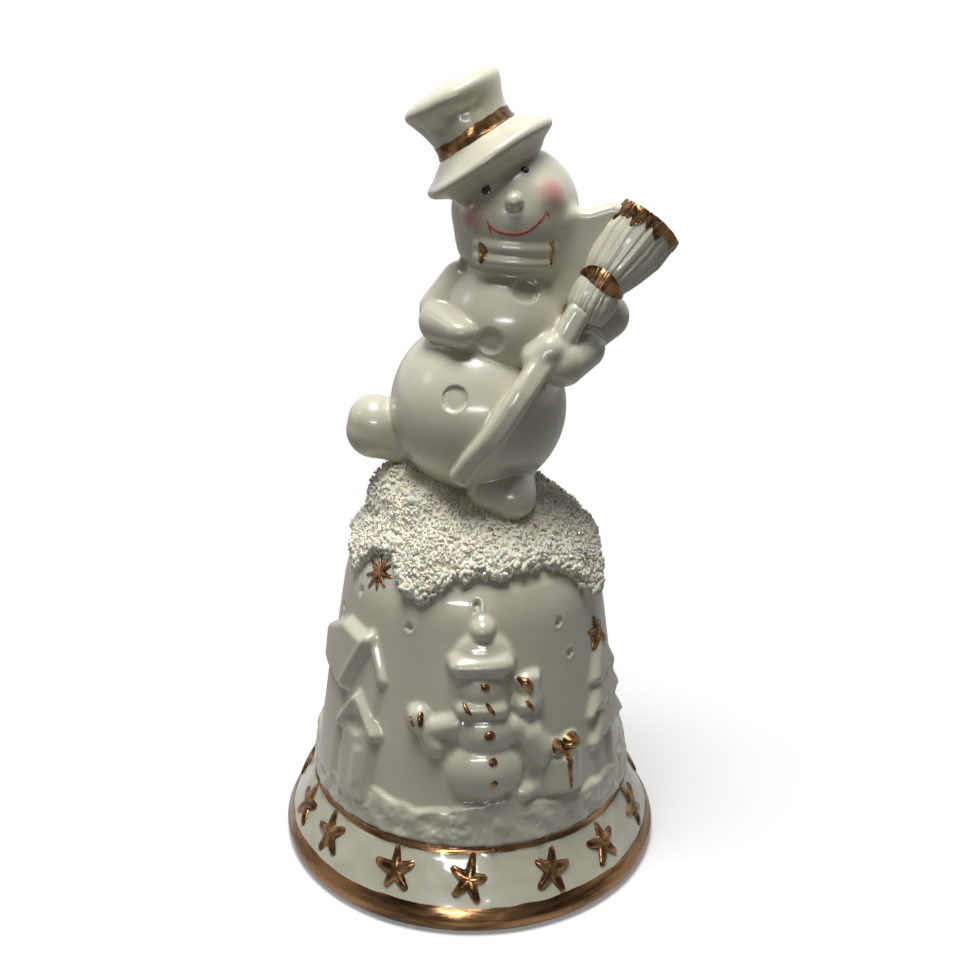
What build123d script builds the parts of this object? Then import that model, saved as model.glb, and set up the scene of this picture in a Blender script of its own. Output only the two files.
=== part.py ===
"""Porcelain hand bell whose handle is a leaning snowman with a top hat and a broom.

The bell stands on its rim. The origin is the middle of the rim's foot, +Z is up,
and the snowman faces -Y. Millimetres and degrees.
"""

import os
from math import cos, radians, sin

from build123d import *

os.makedirs("parts", exist_ok=True)

# Bell, turned about Z
rim_radius = 38.0
lip_radius = 2.2
lip_turn = 33.0  # how far the round lip runs up before the straight skirt
skirt_height = 14.3
waist_radius = 31.65
waist_step = 0.4
dome_foot_radius = 31.3
shoulder_radius = 24.9
shoulder_height = 56.0
crown_height = 75.5
shell_wall = 3.0

# Gold lustre and raised ornament
film = 0.15  # thickness that stands for a fired lustre
lip_gilding_height = 5.0
lip_gilding_foot = 0.8
waist_gilding_width = 1.5
skirt_star_count = 14
skirt_star_radius = 4.3
skirt_star_height = 9.0
skirt_star_relief = 0.6
dome_star_radius = 3.2
dome_star_relief = 0.5
bank_height = 21.0
bank_relief = 1.3
relief = 2.0  # house, tree and gift above the dome
porch_step = 1.0
dome_star_gap = 0.5  # from the highest star to the snow crust
# azimuth of each dome star, and its share of the way from the waist up to the highest star
dome_star_places = [(64, 0.79), (79, 1.0), (-118, 0.8), (150, 0.82), (-165, 0.72)]
burst_azimuth = -49.0
burst_drop = 13.5  # below the crown's top
burst_clearance = 0.4  # bare porcelain round the burst, inside the snow
burst_rays = 9
burst_waist = 0.35  # where two rays meet, as a share of their length
house_width = 15.0
house_height = 28.5
house_azimuth = -66.0
porch_width = 9.0
porch_height = 18.0
porch_azimuth = -49.0
fir_width = 14.0
fir_height = 24.0
fir_azimuths = {"fir_tree": 74.0, "fir_tree_back_right": 128.0, "fir_tree_back_left": 206.0}
gift_width = 9.0
gift_height = 10.5
gift_azimuth = 40.0
ribbon_width = 1.4
ribbon_proud = 0.4
small_azimuth = 5.0
small_room = 42.0  # between the bank and the crust, for the small snowman's sizes below
small_foot_gap = 1.0
small_hand_turns = (-26.0, 18.0)  # round from the small snowman's middle
small_broom_turns = (17.0, 22.0)  # its foot and its top
small_belly_radius = 7.4
small_chest_radius = 5.6
small_head_radius = 4.9
small_chest_rise = 7.8
small_head_rise = 8.2
small_hat_radius = 6.2
small_hat_fold = 1.7
small_hat_height = 5.6
small_bobble_radius = 2.2
small_arm_radius = 2.2
small_stick_radius = 1.0
small_button_radius = 0.8
stripe_side = 5.0  # the scarf stripes' turn from the small snowman's middle
small_hand_rise = 1.0
small_hand_drop = 4.0
small_button_step = 4.0
small_proud = 3.0  # how far the small snowman stands out of the dome

# Snow crust on the crown
crust = 1.5
crust_drop = 12.5  # from the crown's top down to the crust's edge
mound_radius = 9.0
left_mound = -11.5
right_mound = 7.5
mound_sink = 5.5  # the mounds' middles below the crown's top

# Snowman, a hollow casting of balls, leaning to +X
figure_wall = 3.0
belly_radius = 16.4
belly_shift = 0.6
belly_seat = 0.8
chest_radius = 12.4
chest_lean = 16.5
chest_sink = 11.4
head_radius = 11.25
head_tilt = 28.0  # towards -X
neck_lean = 3.0
neck_share = 2.4  # how much more the scarf follows the neck than the tilted head
head_sink = 4.0
nose_radius = 1.6
nose_turn = (-3.0, 18.0)
scarf_radius = 2.3
scarf_ring_radius = 7.4
scarf_stripe_turns = (-140.0, -58.0)
stripe_turn = 8.0
pocket_clearance = 1.2  # round the split pin's spread legs
drain_radius = 2.0  # casting drains between belly, chest and head

# Top hat
hat_tilt = 33.0
hat_seat = 10.0  # from the head's middle to the brim's middle
brim_radius = 12.5
brim_thickness = 2.4
crown_foot_radius = 7.7
crown_top_radius = 9.5
hat_crown_height = 12.2
hat_band_width = 2.2
hat_band_gap = 0.4

# Arms and boots. A turn is an azimuth and an elevation round the ball that carries the point,
# and the value after it says how far the point lies out of that ball
arm_radius = 4.0
mitten_radius = 3.6
left_shoulder_turn = (-65.0, 38.0)
left_shoulder_out = -2.5
left_elbow_turn = (-78.0, 1.0)
left_elbow_out = 2.2
left_palm_turn = (-48.0, -4.0)
left_palm_out = 1.2
elbow_radius = 4.6
right_shoulder_turn = (80.0, 30.0)
right_shoulder_out = -2.5
right_elbow_turn = (97.0, -2.0)
right_elbow_out = 7.6
grip_radius = 4.4
grip_turn = (55.0, 31.0)
grip_out = 3.0
palm_trim = 0.3  # of the way from elbow to palm, taken off both ends
grip_trim = 0.4  # the same for the hand that holds the broom
boot_radius = 5.0
boot_sole = 1.2  # the boot's half length before its round ends
boot_pitch = 31.0
toe_radius = 4.1
toe_turn = (20.0, -56.0)
toe_out = 1.4
leg_radius = 2.2

# Broom
handle_radius = 1.75
handle_foot_turn = (-15.0, -36.0)
handle_foot_out = 0.5
handle_bend_turn = (13.0, 2.0)
handle_bend_out = 0.9
broom_neck_turn = (57.0, 9.0)
broom_neck_out = 3.4
bristle_length = 20.5
bristle_lean = 39.0
bristle_back = 9.0
bristle_foot_radius = 3.0
tie_radius = 4.1
tie_place = 5.0
tip_radius = 6.0
tip_depth = 4.2
tie_width = 2.6
tie_proud = 0.5
tip_gilding = 2.0
web_thickness = 3.0
web_front = 5.0
web_share = 0.7
web_rise = 1.0

# Split pin and clapper, all bent from one gauge of wire
wire_radius = 0.6
pin_clearance = 0.2  # under the spread legs
leg_gap = 0.1
vent_clearance = 0.1  # round the two legs in the crown's hole
link_clearance = 0.15
pin_leg_length = 4.0
pin_eye_height = 3.4
clapper_length = 52.0  # from the pin's eye to the middle of the ball
clapper_eye_radius = 1.9
ball_radius = 6.0
ball_bore_clearance = 0.05
stop_radius = 1.5
stop_height = 1.6


# ---------------------------------------------------------------- shared forms
standing = (Align.CENTER, Align.CENTER, Align.MIN)  # a solid that starts at its plane


def dome_radius(height):
    """Radius of the dome's straight wall at a height."""
    share = (height - skirt_height) / (shoulder_height - skirt_height)
    return dome_foot_radius + share * (shoulder_radius - dome_foot_radius)


def around(centre, radius, turn):
    """A point on a ball: azimuth 0 faces -Y and grows towards +X."""
    azimuth, elevation = [radians(angle) for angle in turn]
    across = Vector(sin(azimuth), -cos(azimuth), 0)
    return centre + across * (radius * cos(elevation)) + Vector(0, 0, radius * sin(elevation))


def above(point, lean, distance):
    """A point that lies up and leaning to +X from another."""
    return point + Vector(sin(radians(lean)), 0, cos(radians(lean))) * distance


def along(start, end):
    """A plane in the middle of two points, its Z running from one to the other."""
    return Plane(origin=(start + end) / 2, z_dir=end - start)


def dome_plane(azimuth, height):
    """An upright plane through the bell's axis that looks out at an azimuth."""
    turn = radians(azimuth)
    return Plane((0, 0, height), x_dir=(cos(turn), sin(turn), 0), z_dir=(sin(turn), -cos(turn), 0))


def bell_form(grow=0.0):
    """Adds the bell's outer form, filled and grown outwards, to the open block."""
    lip_middle = rim_radius - lip_radius
    rise = crown_height - shoulder_height
    slope = (shoulder_radius - dome_foot_radius) / (shoulder_height - skirt_height)
    with BuildSketch(Plane.XZ) as profile:
        with BuildLine():
            Line((0, -grow), (lip_middle, -grow))
            lip = CenterArc((lip_middle, lip_radius), lip_radius + grow, -90, 90 + lip_turn)
            shoulder = (shoulder_radius + grow, shoulder_height)
            Polyline(
                lip @ 1,
                (waist_radius + grow, skirt_height),
                (dome_foot_radius + grow, skirt_height + waist_step),
                shoulder,
            )
            Bezier(
                shoulder,
                (shoulder[0] + slope * rise * 0.6, shoulder_height + rise * 0.6),
                (shoulder_radius * 0.56, crown_height + grow),
                (0, crown_height + grow),
            )
            Line((0, crown_height + grow), (0, -grow))
        make_face()
    revolve(profile.sketch, axis=Axis.Z)


def ball(centre, radius):
    """Adds a ball to the open block."""
    with Locations(centre):
        Sphere(radius)


def limb(start, end, radius, trim=0.0):
    """Adds a rod with round ends to the open block, its ends' middles trimmed towards each other."""
    step = (end - start) * trim
    foot = start + step
    reach = (end - start).length * (1 - 2 * trim)
    axes = Plane(foot, z_dir=end - start)
    with BuildSketch(Plane(foot, x_dir=axes.x_dir, z_dir=-axes.y_dir)) as profile:
        with BuildLine():
            Line((0, -radius), (0, reach + radius))
            CenterArc((0, 0), radius, -90, 90)
            Line((radius, 0), (radius, reach))
            CenterArc((0, reach), radius, 0, 90)
        make_face()
    revolve(profile.sketch, axis=Axis(foot, end - start))


def cut(*pieces):
    """Takes the pieces that this one seats against out of the open block."""
    for piece in pieces:
        add(piece.part, mode=Mode.SUBTRACT)


def finish(block, label):
    """Names a finished piece and writes its file."""
    block.part.label = label
    export_step(block.part, f"parts/{label}.step")


def star_outline(radius, inner_share=0.42, points=5):
    """The corners of a star that stands on two points."""
    step = 180 / points
    sizes = [radius if i % 2 == 0 else radius * inner_share for i in range(2 * points)]
    return [
        (size * sin(radians(i * step)), size * cos(radians(i * step)))
        for i, size in enumerate(sizes)
    ]


def bell_ornament(height, *outlines):
    """Raised ornament: outlines on dome planes, standing out of the bell by height."""
    with BuildPart() as skin:
        bell_form(height)
    with BuildPart() as ornament:
        for plane, corners in outlines:
            with BuildSketch(plane):
                with BuildLine():
                    Polyline(*corners, close=True)
                make_face()
            extrude(amount=rim_radius + height)
        add(skin.part, mode=Mode.INTERSECT)
        cut(bell_outer)
    return ornament


def bell_band(grow, bottom, top):
    """A ring that lies on the bell between two heights."""
    with BuildPart() as band:
        bell_form(grow)
        cut(bell_outer)
        split(bisect_by=Plane.XY.offset(bottom), keep=Keep.TOP)
        split(bisect_by=Plane.XY.offset(top), keep=Keep.BOTTOM)
    return band


def gabled(width, height, roof_share=0.42):
    """The corners of a house front, from its foot to its gable."""
    half = width / 2
    eave = height * (1 - roof_share)
    return [(-half, 0), (half, 0), (half, eave), (0, height), (-half, eave)]


def fir_outline(width, height, tiers=3):
    """The corners of a fir tree in tiers that narrow upwards."""
    side = []
    for tier in range(tiers):
        half = width / 2 * (1 - tier * 0.6 / tiers)
        foot = height * tier * 0.9 / tiers
        side += [(half, foot), (half * 0.45, foot + height * 0.9 / tiers)]
    side = side[:-1]
    return side + [(0, height)] + [(-x, z) for x, z in reversed(side)]


def upright_box(width, height):
    """The corners of a rectangle that stands on its lower side."""
    return [(-width / 2, 0), (width / 2, 0), (width / 2, height), (-width / 2, height)]


# ---------------------------------------------------------------- where the figure's parts stand
belly_centre = Vector(belly_shift, 0, crown_height + belly_radius - belly_seat)
chest_centre = above(belly_centre, chest_lean, belly_radius + chest_radius - chest_sink)
head_centre = above(chest_centre, neck_lean, chest_radius + head_radius - head_sink)
head_up = above(Vector(0, 0, 0), -head_tilt, 1)
hat_up = above(Vector(0, 0, 0), -hat_tilt, 1)
brim_centre = head_centre + head_up * hat_seat
leg_side = wire_radius + leg_gap / 2
vent_radius = leg_side + wire_radius + vent_clearance
pocket_radius = pin_leg_length + pocket_clearance
neck = above(chest_centre, neck_lean, chest_radius)

handle_foot = around(belly_centre, belly_radius + handle_foot_out, handle_foot_turn)
handle_bend = around(belly_centre, belly_radius + handle_bend_out, handle_bend_turn)
broom_neck = around(chest_centre, chest_radius + broom_neck_out, broom_neck_turn)
bristle_up = Vector(sin(radians(bristle_lean)), sin(radians(bristle_back)), cos(radians(bristle_lean)))
bristle_up = bristle_up.normalized()
grip_centre = around(belly_centre, belly_radius + grip_out, grip_turn)
left_elbow = around(chest_centre, chest_radius + left_elbow_out, left_elbow_turn)
left_palm = around(chest_centre, chest_radius + left_palm_out, left_palm_turn)
left_shoulder = around(chest_centre, chest_radius + left_shoulder_out, left_shoulder_turn)
right_elbow = around(chest_centre, chest_radius + right_elbow_out, right_elbow_turn)
right_shoulder = around(chest_centre, chest_radius + right_shoulder_out, right_shoulder_turn)
right_toe = around(belly_centre, belly_radius + toe_out, toe_turn)
left_heel = belly_centre + Vector(-belly_radius - boot_radius * 0.7, 0, -boot_radius)
leg_foot = Vector(left_mound - mound_radius * 0.4, 0, crown_height)

# ---------------------------------------------------------------- bell shell
with BuildPart() as bell_outer:
    bell_form()

# The hollow follows the outside one wall further in, above a foot ring that is flat and unglazed
hollow_foot = rim_radius - 2 * lip_radius
hollow_shoulder = (shoulder_radius - shell_wall, shoulder_height)
hollow_top = crown_height - shell_wall
hollow_rise = hollow_top - shoulder_height
dome_slope = (shoulder_radius - dome_foot_radius) / (shoulder_height - skirt_height)
with BuildPart() as bell_shell:
    bell_form()
    with BuildSketch(Plane.XZ):
        with BuildLine():
            Polyline(
                (0, hollow_top),
                (0, 0),
                (hollow_foot, 0),
                (hollow_foot, lip_radius),
                (dome_foot_radius - shell_wall, skirt_height),
                hollow_shoulder,
            )
            Bezier(
                hollow_shoulder,
                (hollow_shoulder[0] + dome_slope * hollow_rise * 0.6, shoulder_height + hollow_rise * 0.6),
                (hollow_shoulder[0] * 0.56, hollow_top),
                (0, hollow_top),
            )
        make_face()
    revolve(axis=Axis.Z, mode=Mode.SUBTRACT)
    with Locations((0, 0, crown_height)):
        Hole(vent_radius, 2 * shell_wall)
finish(bell_shell, "bell_shell")

finish(bell_band(film, lip_gilding_foot, lip_gilding_height), "lip_gilding")
waist_top = skirt_height + waist_gilding_width / 2
finish(bell_band(film, waist_top - waist_gilding_width, waist_top), "waist_gilding")

# ---------------------------------------------------------------- ornament on skirt and dome
star_planes = [dome_plane(i * 360 / skirt_star_count, skirt_star_height) for i in range(skirt_star_count)]
skirt_star = star_outline(skirt_star_radius)
finish(bell_ornament(skirt_star_relief, *[(plane, skirt_star) for plane in star_planes]), "skirt_stars")

dome_star = star_outline(dome_star_radius)
dome_rise = crown_height - crust_drop - dome_star_gap - dome_star_radius - skirt_height
dome_stars = bell_ornament(
    dome_star_relief,
    *[(dome_plane(azimuth, skirt_height + dome_rise * up), dome_star) for azimuth, up in dome_star_places],
)
finish(dome_stars, "dome_stars")
burst_plane = dome_plane(burst_azimuth, crown_height - burst_drop)
burst = star_outline(dome_star_radius, burst_waist, burst_rays)
finish(bell_ornament(dome_star_relief, (burst_plane, burst)), "starburst")

snow_bank = bell_band(bank_relief, waist_top, bank_height)
finish(snow_bank, "snow_bank")

porch = bell_ornament(
    relief + porch_step, (dome_plane(porch_azimuth, bank_height), gabled(porch_width, porch_height))
)
finish(porch, "porch")
house = bell_ornament(
    relief, (dome_plane(house_azimuth, bank_height), gabled(house_width, house_height))
)
with BuildPart() as house_front:
    add(house.part)
    cut(porch)
finish(house_front, "house_front")

for label, azimuth in fir_azimuths.items():
    fir = bell_ornament(relief, (dome_plane(azimuth, bank_height), fir_outline(fir_width, fir_height)))
    finish(fir, label)

gift_plane = dome_plane(gift_azimuth, bank_height)
gift_box = bell_ornament(relief, (gift_plane, upright_box(gift_width, gift_height)))
finish(gift_box, "gift_box")
ribbon = bell_ornament(relief + ribbon_proud, (gift_plane, upright_box(ribbon_width, gift_height)))
with BuildPart() as gift_ribbon:
    add(ribbon.part)
    cut(gift_box)
finish(gift_ribbon, "gift_ribbon")

# ---------------------------------------------------------------- small snowman on the dome
small_scale = (crown_height - crust_drop - bank_height) / small_room


def small(size):
    """A size of the small snowman, drawn to the room that it has."""
    return size * small_scale


def small_point(side, height, sink=0.0):
    """A point at the dome's wall, so far round from the small snowman, sunk into the wall."""
    plane = dome_plane(small_azimuth + side, height)
    return plane.origin + plane.z_dir * (dome_radius(height) - sink)


def upright(point):
    """An upright plane at a point."""
    return Plane(point, x_dir=(1, 0, 0), z_dir=(0, 0, 1))


small_belly = bank_height + small(small_belly_radius + small_foot_gap)
small_chest = small_belly + small(small_chest_rise)
small_head = small_chest + small(small_head_rise)
small_brim = small_head + small(small_head_radius) * 0.85
small_balls = (
    (small_belly, small(small_belly_radius)),
    (small_chest, small(small_chest_radius)),
    (small_head, small(small_head_radius)),
)
with BuildPart() as small_body:
    for height, radius in small_balls:
        ball(small_point(0, height, radius - small(small_proud)), radius)
    cut(bell_outer, snow_bank)
finish(small_body, "small_snowman")

with BuildPart() as small_hat:
    hat_middle = small_point(0, small_brim, small(small_hat_radius - small_proud))
    with Locations(upright(hat_middle)):
        Cylinder(small(small_hat_radius), 2 * small(small_hat_fold))
    fillet(small_hat.edges(), small(small_hat_fold) * 0.6)
    ball(hat_middle, small(small_hat_height))
    ball(small_point(0, small_brim + small(small_hat_height)), small(small_bobble_radius))
    cut(bell_outer, small_body)
finish(small_hat, "small_hat")

broom_low = small_point(small_broom_turns[0], small_belly)
broom_top = small_point(small_broom_turns[1], small_brim)
with BuildPart() as small_broom:
    limb(broom_low, broom_top, small(small_stick_radius))
    limb((broom_low + broom_top) / 2, broom_top, small(small_stick_radius) * 1.7)
    cut(bell_outer, small_body)
finish(small_broom, "small_broom")

small_hands = (small_chest + small(small_hand_rise), small_chest - small(small_hand_drop))
with BuildPart() as small_arms:
    for hand_turn, hand_height in zip(small_hand_turns, small_hands):
        shoulder = small_point(hand_turn / 2, small_chest + small(small_arm_radius))
        limb(shoulder, small_point(hand_turn, hand_height), small(small_arm_radius))
    cut(bell_outer, small_body, small_broom)
finish(small_arms, "small_arms")

# Gold nose, buttons, scarf stripes, mitten stripes and broom ties
with BuildPart() as small_trim:
    button_foot = small_belly - small(small_button_step) / 2
    for height in (small_head, small_chest, button_foot + small(small_button_step), button_foot):
        ball(small_point(0, height, -small(small_proud)), small(small_button_radius))
    scarf_height = small_chest + small(small_chest_radius)
    marks = [(-stripe_side, scarf_height), (stripe_side, scarf_height)]
    marks += [(small_hand_turns[0], small_hands[0]), (small_broom_turns[1], small_head)]
    marks += [(small_broom_turns[0], small_hands[0] + small(small_button_step))]
    for side, height in marks:
        foot = small_point(side, height - small(small_button_radius), -small(small_proud) / 2)
        top = small_point(side, height + small(small_button_radius), -small(small_proud) / 2)
        limb(foot, top, small(small_button_radius))
    cut(bell_outer, small_body, small_arms, small_broom)
finish(small_trim, "small_trim")

# ---------------------------------------------------------------- hollow balls of the big snowman
with BuildPart() as belly_outer:
    ball(belly_centre, belly_radius)
with BuildPart() as chest_outer:
    ball(chest_centre, chest_radius)
with BuildPart() as head_outer:
    ball(head_centre, head_radius)

# Casting drains that join the three hollows to each other and to the bell
drains = []
for lower, upper in ((belly_centre, chest_centre), (chest_centre, head_centre)):
    with BuildPart(along(lower, upper)) as drain:
        Cylinder(drain_radius, (upper - lower).length)
    drains.append(drain)
with BuildPart(Plane.XY.offset(crown_height - belly_seat)) as pocket:
    Cylinder(pocket_radius, belly_radius, align=standing)

with BuildPart() as belly:
    add(belly_outer.part)
    with Locations(belly_centre):
        Sphere(belly_radius - figure_wall, mode=Mode.SUBTRACT)
    cut(bell_outer, pocket, drains[0])
finish(belly, "belly")

with BuildPart() as chest:
    add(chest_outer.part)
    with Locations(chest_centre):
        Sphere(chest_radius - figure_wall, mode=Mode.SUBTRACT)
    cut(belly_outer, *drains)
finish(chest, "chest")

with BuildPart() as head:
    add(head_outer.part)
    with Locations(head_centre):
        Sphere(head_radius - figure_wall, mode=Mode.SUBTRACT)
    cut(chest_outer, drains[1])
finish(head, "head")

with BuildPart() as nose:
    ball(around(head_centre, head_radius, nose_turn), nose_radius)
    cut(head_outer)
finish(nose, "nose")

# ---------------------------------------------------------------- scarf
neck_plane = Plane(neck, z_dir=(head_centre - chest_centre).normalized() * neck_share + head_up)
with BuildPart() as scarf:
    with Locations(neck_plane):
        Torus(scarf_ring_radius, scarf_radius)
    cut(chest_outer, head_outer)
finish(scarf, "scarf")

with BuildPart() as scarf_trim:
    for turn in scarf_stripe_turns:
        stripe = neck_plane.rotated((0, 0, turn))
        with BuildSketch(Plane(stripe.origin, x_dir=stripe.x_dir, z_dir=-stripe.y_dir)) as section:
            with Locations((scarf_ring_radius, 0)):
                Circle(scarf_radius + film)
        revolve(section.sketch, axis=Axis(stripe.origin, stripe.z_dir), revolution_arc=stripe_turn)
    cut(chest_outer, head_outer, scarf)
finish(scarf_trim, "scarf_trim")

# ---------------------------------------------------------------- top hat
brim_plane = Plane(brim_centre, z_dir=hat_up)
with BuildPart() as hat_brim:
    with Locations(brim_plane):
        Cylinder(brim_radius, brim_thickness)
    fillet(hat_brim.edges(), brim_thickness * 0.45)
    cut(head_outer)
finish(hat_brim, "hat_brim")

crown_plane = brim_plane.offset(brim_thickness / 2)
with BuildPart() as hat_crown:
    with Locations(crown_plane):
        Cone(crown_foot_radius, crown_top_radius, hat_crown_height, align=standing)
    fillet(hat_crown.edges().sort_by(Axis(crown_plane.origin, hat_up))[-1], brim_thickness * 0.3)
    cut(head_outer, hat_brim)
finish(hat_crown, "hat_crown")

flare = (crown_top_radius - crown_foot_radius) / hat_crown_height
band_foot = crown_foot_radius + flare * hat_band_gap
with BuildPart() as hat_band:
    with Locations(crown_plane.offset(hat_band_gap)):
        Cone(band_foot + film, band_foot + film + flare * hat_band_width, hat_band_width, align=standing)
    cut(hat_crown, hat_brim, head_outer)
finish(hat_band, "hat_band")

# ---------------------------------------------------------------- broom
with BuildPart() as broom_handle:
    with BuildLine():
        stick = ThreePointArc(handle_foot, handle_bend, broom_neck)
    with BuildSketch(Plane(stick @ 0, z_dir=stick % 0)):
        Circle(handle_radius)
    sweep()
    cut(belly_outer, chest_outer)
finish(broom_handle, "broom_handle")


def bristle_plane(place):
    """A plane across the bristles, its X to the side and its Y towards the back."""
    across = bristle_up.cross(Vector(0, 1, 0))
    return Plane(broom_neck + bristle_up * place, x_dir=across, z_dir=bristle_up)


bristle_sections = (
    (0.0, bristle_foot_radius, bristle_foot_radius * 0.85),
    (tie_place, tie_radius, tie_radius * 0.85),
    (bristle_length, tip_radius, tip_depth),
)
with BuildPart() as broom_bristles:
    for place, half_width, half_depth in bristle_sections:
        with BuildSketch(bristle_plane(place)):
            Ellipse(half_width, half_depth)
    loft()
    cut(broom_handle, chest_outer)
finish(broom_bristles, "broom_bristles")

with BuildPart() as broom_tie:
    with BuildSketch(bristle_plane(tie_place - tie_width / 2)):
        Ellipse(tie_radius + tie_proud, tie_radius * 0.85 + tie_proud)
    extrude(amount=tie_width)
    cut(broom_bristles, broom_handle, chest_outer)
finish(broom_tie, "broom_tie")

with BuildPart() as broom_tip_gilding:
    with BuildSketch(bristle_plane(bristle_length - tip_gilding)):
        Ellipse(tip_radius + film, tip_depth + film)
    extrude(amount=tip_gilding + film)
    cut(broom_bristles)
finish(broom_tip_gilding, "broom_tip_gilding")

# ---------------------------------------------------------------- arms, hands and feet
with BuildPart() as left_arm:
    limb(left_shoulder, left_elbow, arm_radius)
    cut(belly_outer, chest_outer, head_outer, scarf)
finish(left_arm, "left_arm")

with BuildPart() as left_mitten:
    limb(left_elbow, left_palm, mitten_radius, palm_trim)
    cut(belly_outer, chest_outer, left_arm)
finish(left_mitten, "left_mitten")

with BuildPart() as right_mitten:
    limb(grip_centre, right_elbow, grip_radius, grip_trim)
    cut(chest_outer, belly_outer, broom_handle, broom_bristles)
finish(right_mitten, "right_mitten")

with BuildPart() as right_arm:
    limb(right_shoulder, right_elbow, elbow_radius)
    cut(belly_outer, chest_outer, head_outer, scarf)
    cut(broom_handle, broom_bristles, broom_tie, right_mitten)
finish(right_arm, "right_arm")

# A web of clay ties the bristles to the cheek and the shoulder, as the mould leaves it
cheek = head_centre + Vector(head_radius, 0, web_rise)
web_end = broom_neck + bristle_up * (bristle_length * web_share)
web_corners = (head_centre, cheek, web_end, broom_neck, chest_centre)
with BuildPart() as broom_web:
    with BuildSketch(Plane.XZ.offset(web_front - web_thickness)):
        with BuildLine():
            Polyline(*[(corner.X, corner.Z) for corner in web_corners], close=True)
        make_face()
    extrude(amount=web_thickness)
    cut(head_outer, chest_outer, scarf, scarf_trim, hat_brim, right_arm)
    cut(broom_bristles, broom_tie, broom_handle)
finish(broom_web, "broom_web")

sole = above(Vector(0, 0, 0), 90 - boot_pitch, boot_sole)
with BuildPart() as left_boot:
    limb(left_heel - sole, left_heel + sole, boot_radius)
    limb(left_heel, leg_foot, leg_radius)
    cut(belly_outer, bell_outer)
finish(left_boot, "left_boot")

instep = (right_toe - belly_centre).normalized() * toe_radius * 0.2
with BuildPart() as right_boot:
    limb(right_toe - instep, right_toe + instep, toe_radius)
    cut(belly_outer, bell_outer)
finish(right_boot, "right_boot")

# ---------------------------------------------------------------- snow crust on the crown
with BuildPart() as snow_cap:
    bell_form(crust)
    split(bisect_by=Plane.XY.offset(crown_height - crust_drop), keep=Keep.TOP)
    for shift in (left_mound, right_mound):
        ball(Vector(shift, 0, crown_height - mound_sink), mound_radius)
    with Locations(burst_plane):
        Cylinder(dome_star_radius + burst_clearance, rim_radius, align=standing, mode=Mode.SUBTRACT)
    cut(bell_outer, belly_outer, left_boot, right_boot, pocket)
finish(snow_cap, "snow_cap")

# ---------------------------------------------------------------- split pin and clapper
bar_height = hollow_top - pin_eye_height
eye_side = wire_radius * 2 + link_clearance + wire_radius
leg_top = crown_height + wire_radius + pin_clearance
with BuildPart() as split_pin:
    with BuildLine(Plane.XZ):
        half_path = [
            (eye_side, bar_height),
            (eye_side, bar_height + pin_eye_height * 0.6),
            (leg_side, hollow_top - wire_radius * 0.5),
            (leg_side, leg_top),
            (pin_leg_length, leg_top),
        ]
        path = [(-x, z) for x, z in reversed(half_path)] + half_path
        wire_line = FilletPolyline(*path, radius=wire_radius * 1.3)
    with BuildSketch(Plane(wire_line @ 0, z_dir=wire_line % 0)):
        Circle(wire_radius)
    sweep()
finish(split_pin, "split_pin")

eye_drop = clapper_eye_radius - 2 * wire_radius - link_clearance
eye_centre = Vector(0, 0, bar_height - eye_drop)
ball_centre = Vector(0, 0, bar_height - clapper_length)
wire_foot = ball_centre.Z - ball_radius - stop_height
with BuildPart() as clapper_wire:
    with Locations(Plane(eye_centre, z_dir=(1, 0, 0))):
        Torus(clapper_eye_radius, wire_radius)
    with Locations((0, 0, wire_foot)):
        Cylinder(wire_radius, eye_centre.Z - clapper_eye_radius - wire_foot, align=standing)
finish(clapper_wire, "clapper_wire")

with BuildPart() as clapper_ball:
    with Locations(ball_centre):
        Sphere(ball_radius)
        Hole(wire_radius + ball_bore_clearance, 2 * ball_radius)
finish(clapper_ball, "clapper_ball")

with BuildPart() as clapper_stop:
    with Locations((0, 0, wire_foot)):
        Cylinder(stop_radius, stop_height, align=standing)
    fillet(clapper_stop.edges(), stop_height * 0.3)
    cut(clapper_wire, clapper_ball)
finish(clapper_stop, "clapper_stop")
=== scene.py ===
from math import cos, degrees, pi, radians, sin, tau

import bpy
import numpy as np
from mathutils import Matrix, Vector, noise


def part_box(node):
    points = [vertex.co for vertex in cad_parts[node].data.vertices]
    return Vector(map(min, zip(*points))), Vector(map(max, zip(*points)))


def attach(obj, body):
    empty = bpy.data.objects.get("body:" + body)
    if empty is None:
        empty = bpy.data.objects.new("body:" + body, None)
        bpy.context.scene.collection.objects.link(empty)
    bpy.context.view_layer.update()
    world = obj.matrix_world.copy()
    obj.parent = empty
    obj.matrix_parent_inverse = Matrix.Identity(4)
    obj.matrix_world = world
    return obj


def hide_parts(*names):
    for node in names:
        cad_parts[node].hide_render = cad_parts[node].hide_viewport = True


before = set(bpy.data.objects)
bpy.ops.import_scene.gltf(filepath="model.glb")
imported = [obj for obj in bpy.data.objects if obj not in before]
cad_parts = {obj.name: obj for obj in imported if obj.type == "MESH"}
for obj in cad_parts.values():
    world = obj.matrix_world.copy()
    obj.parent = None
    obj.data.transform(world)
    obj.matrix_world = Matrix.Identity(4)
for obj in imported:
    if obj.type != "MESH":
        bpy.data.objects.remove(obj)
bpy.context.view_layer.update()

mm = 0.001  # the values below are in millimetres and degrees, Blender works in metres
print("frame loaded:", len(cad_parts), "nodes")


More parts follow.
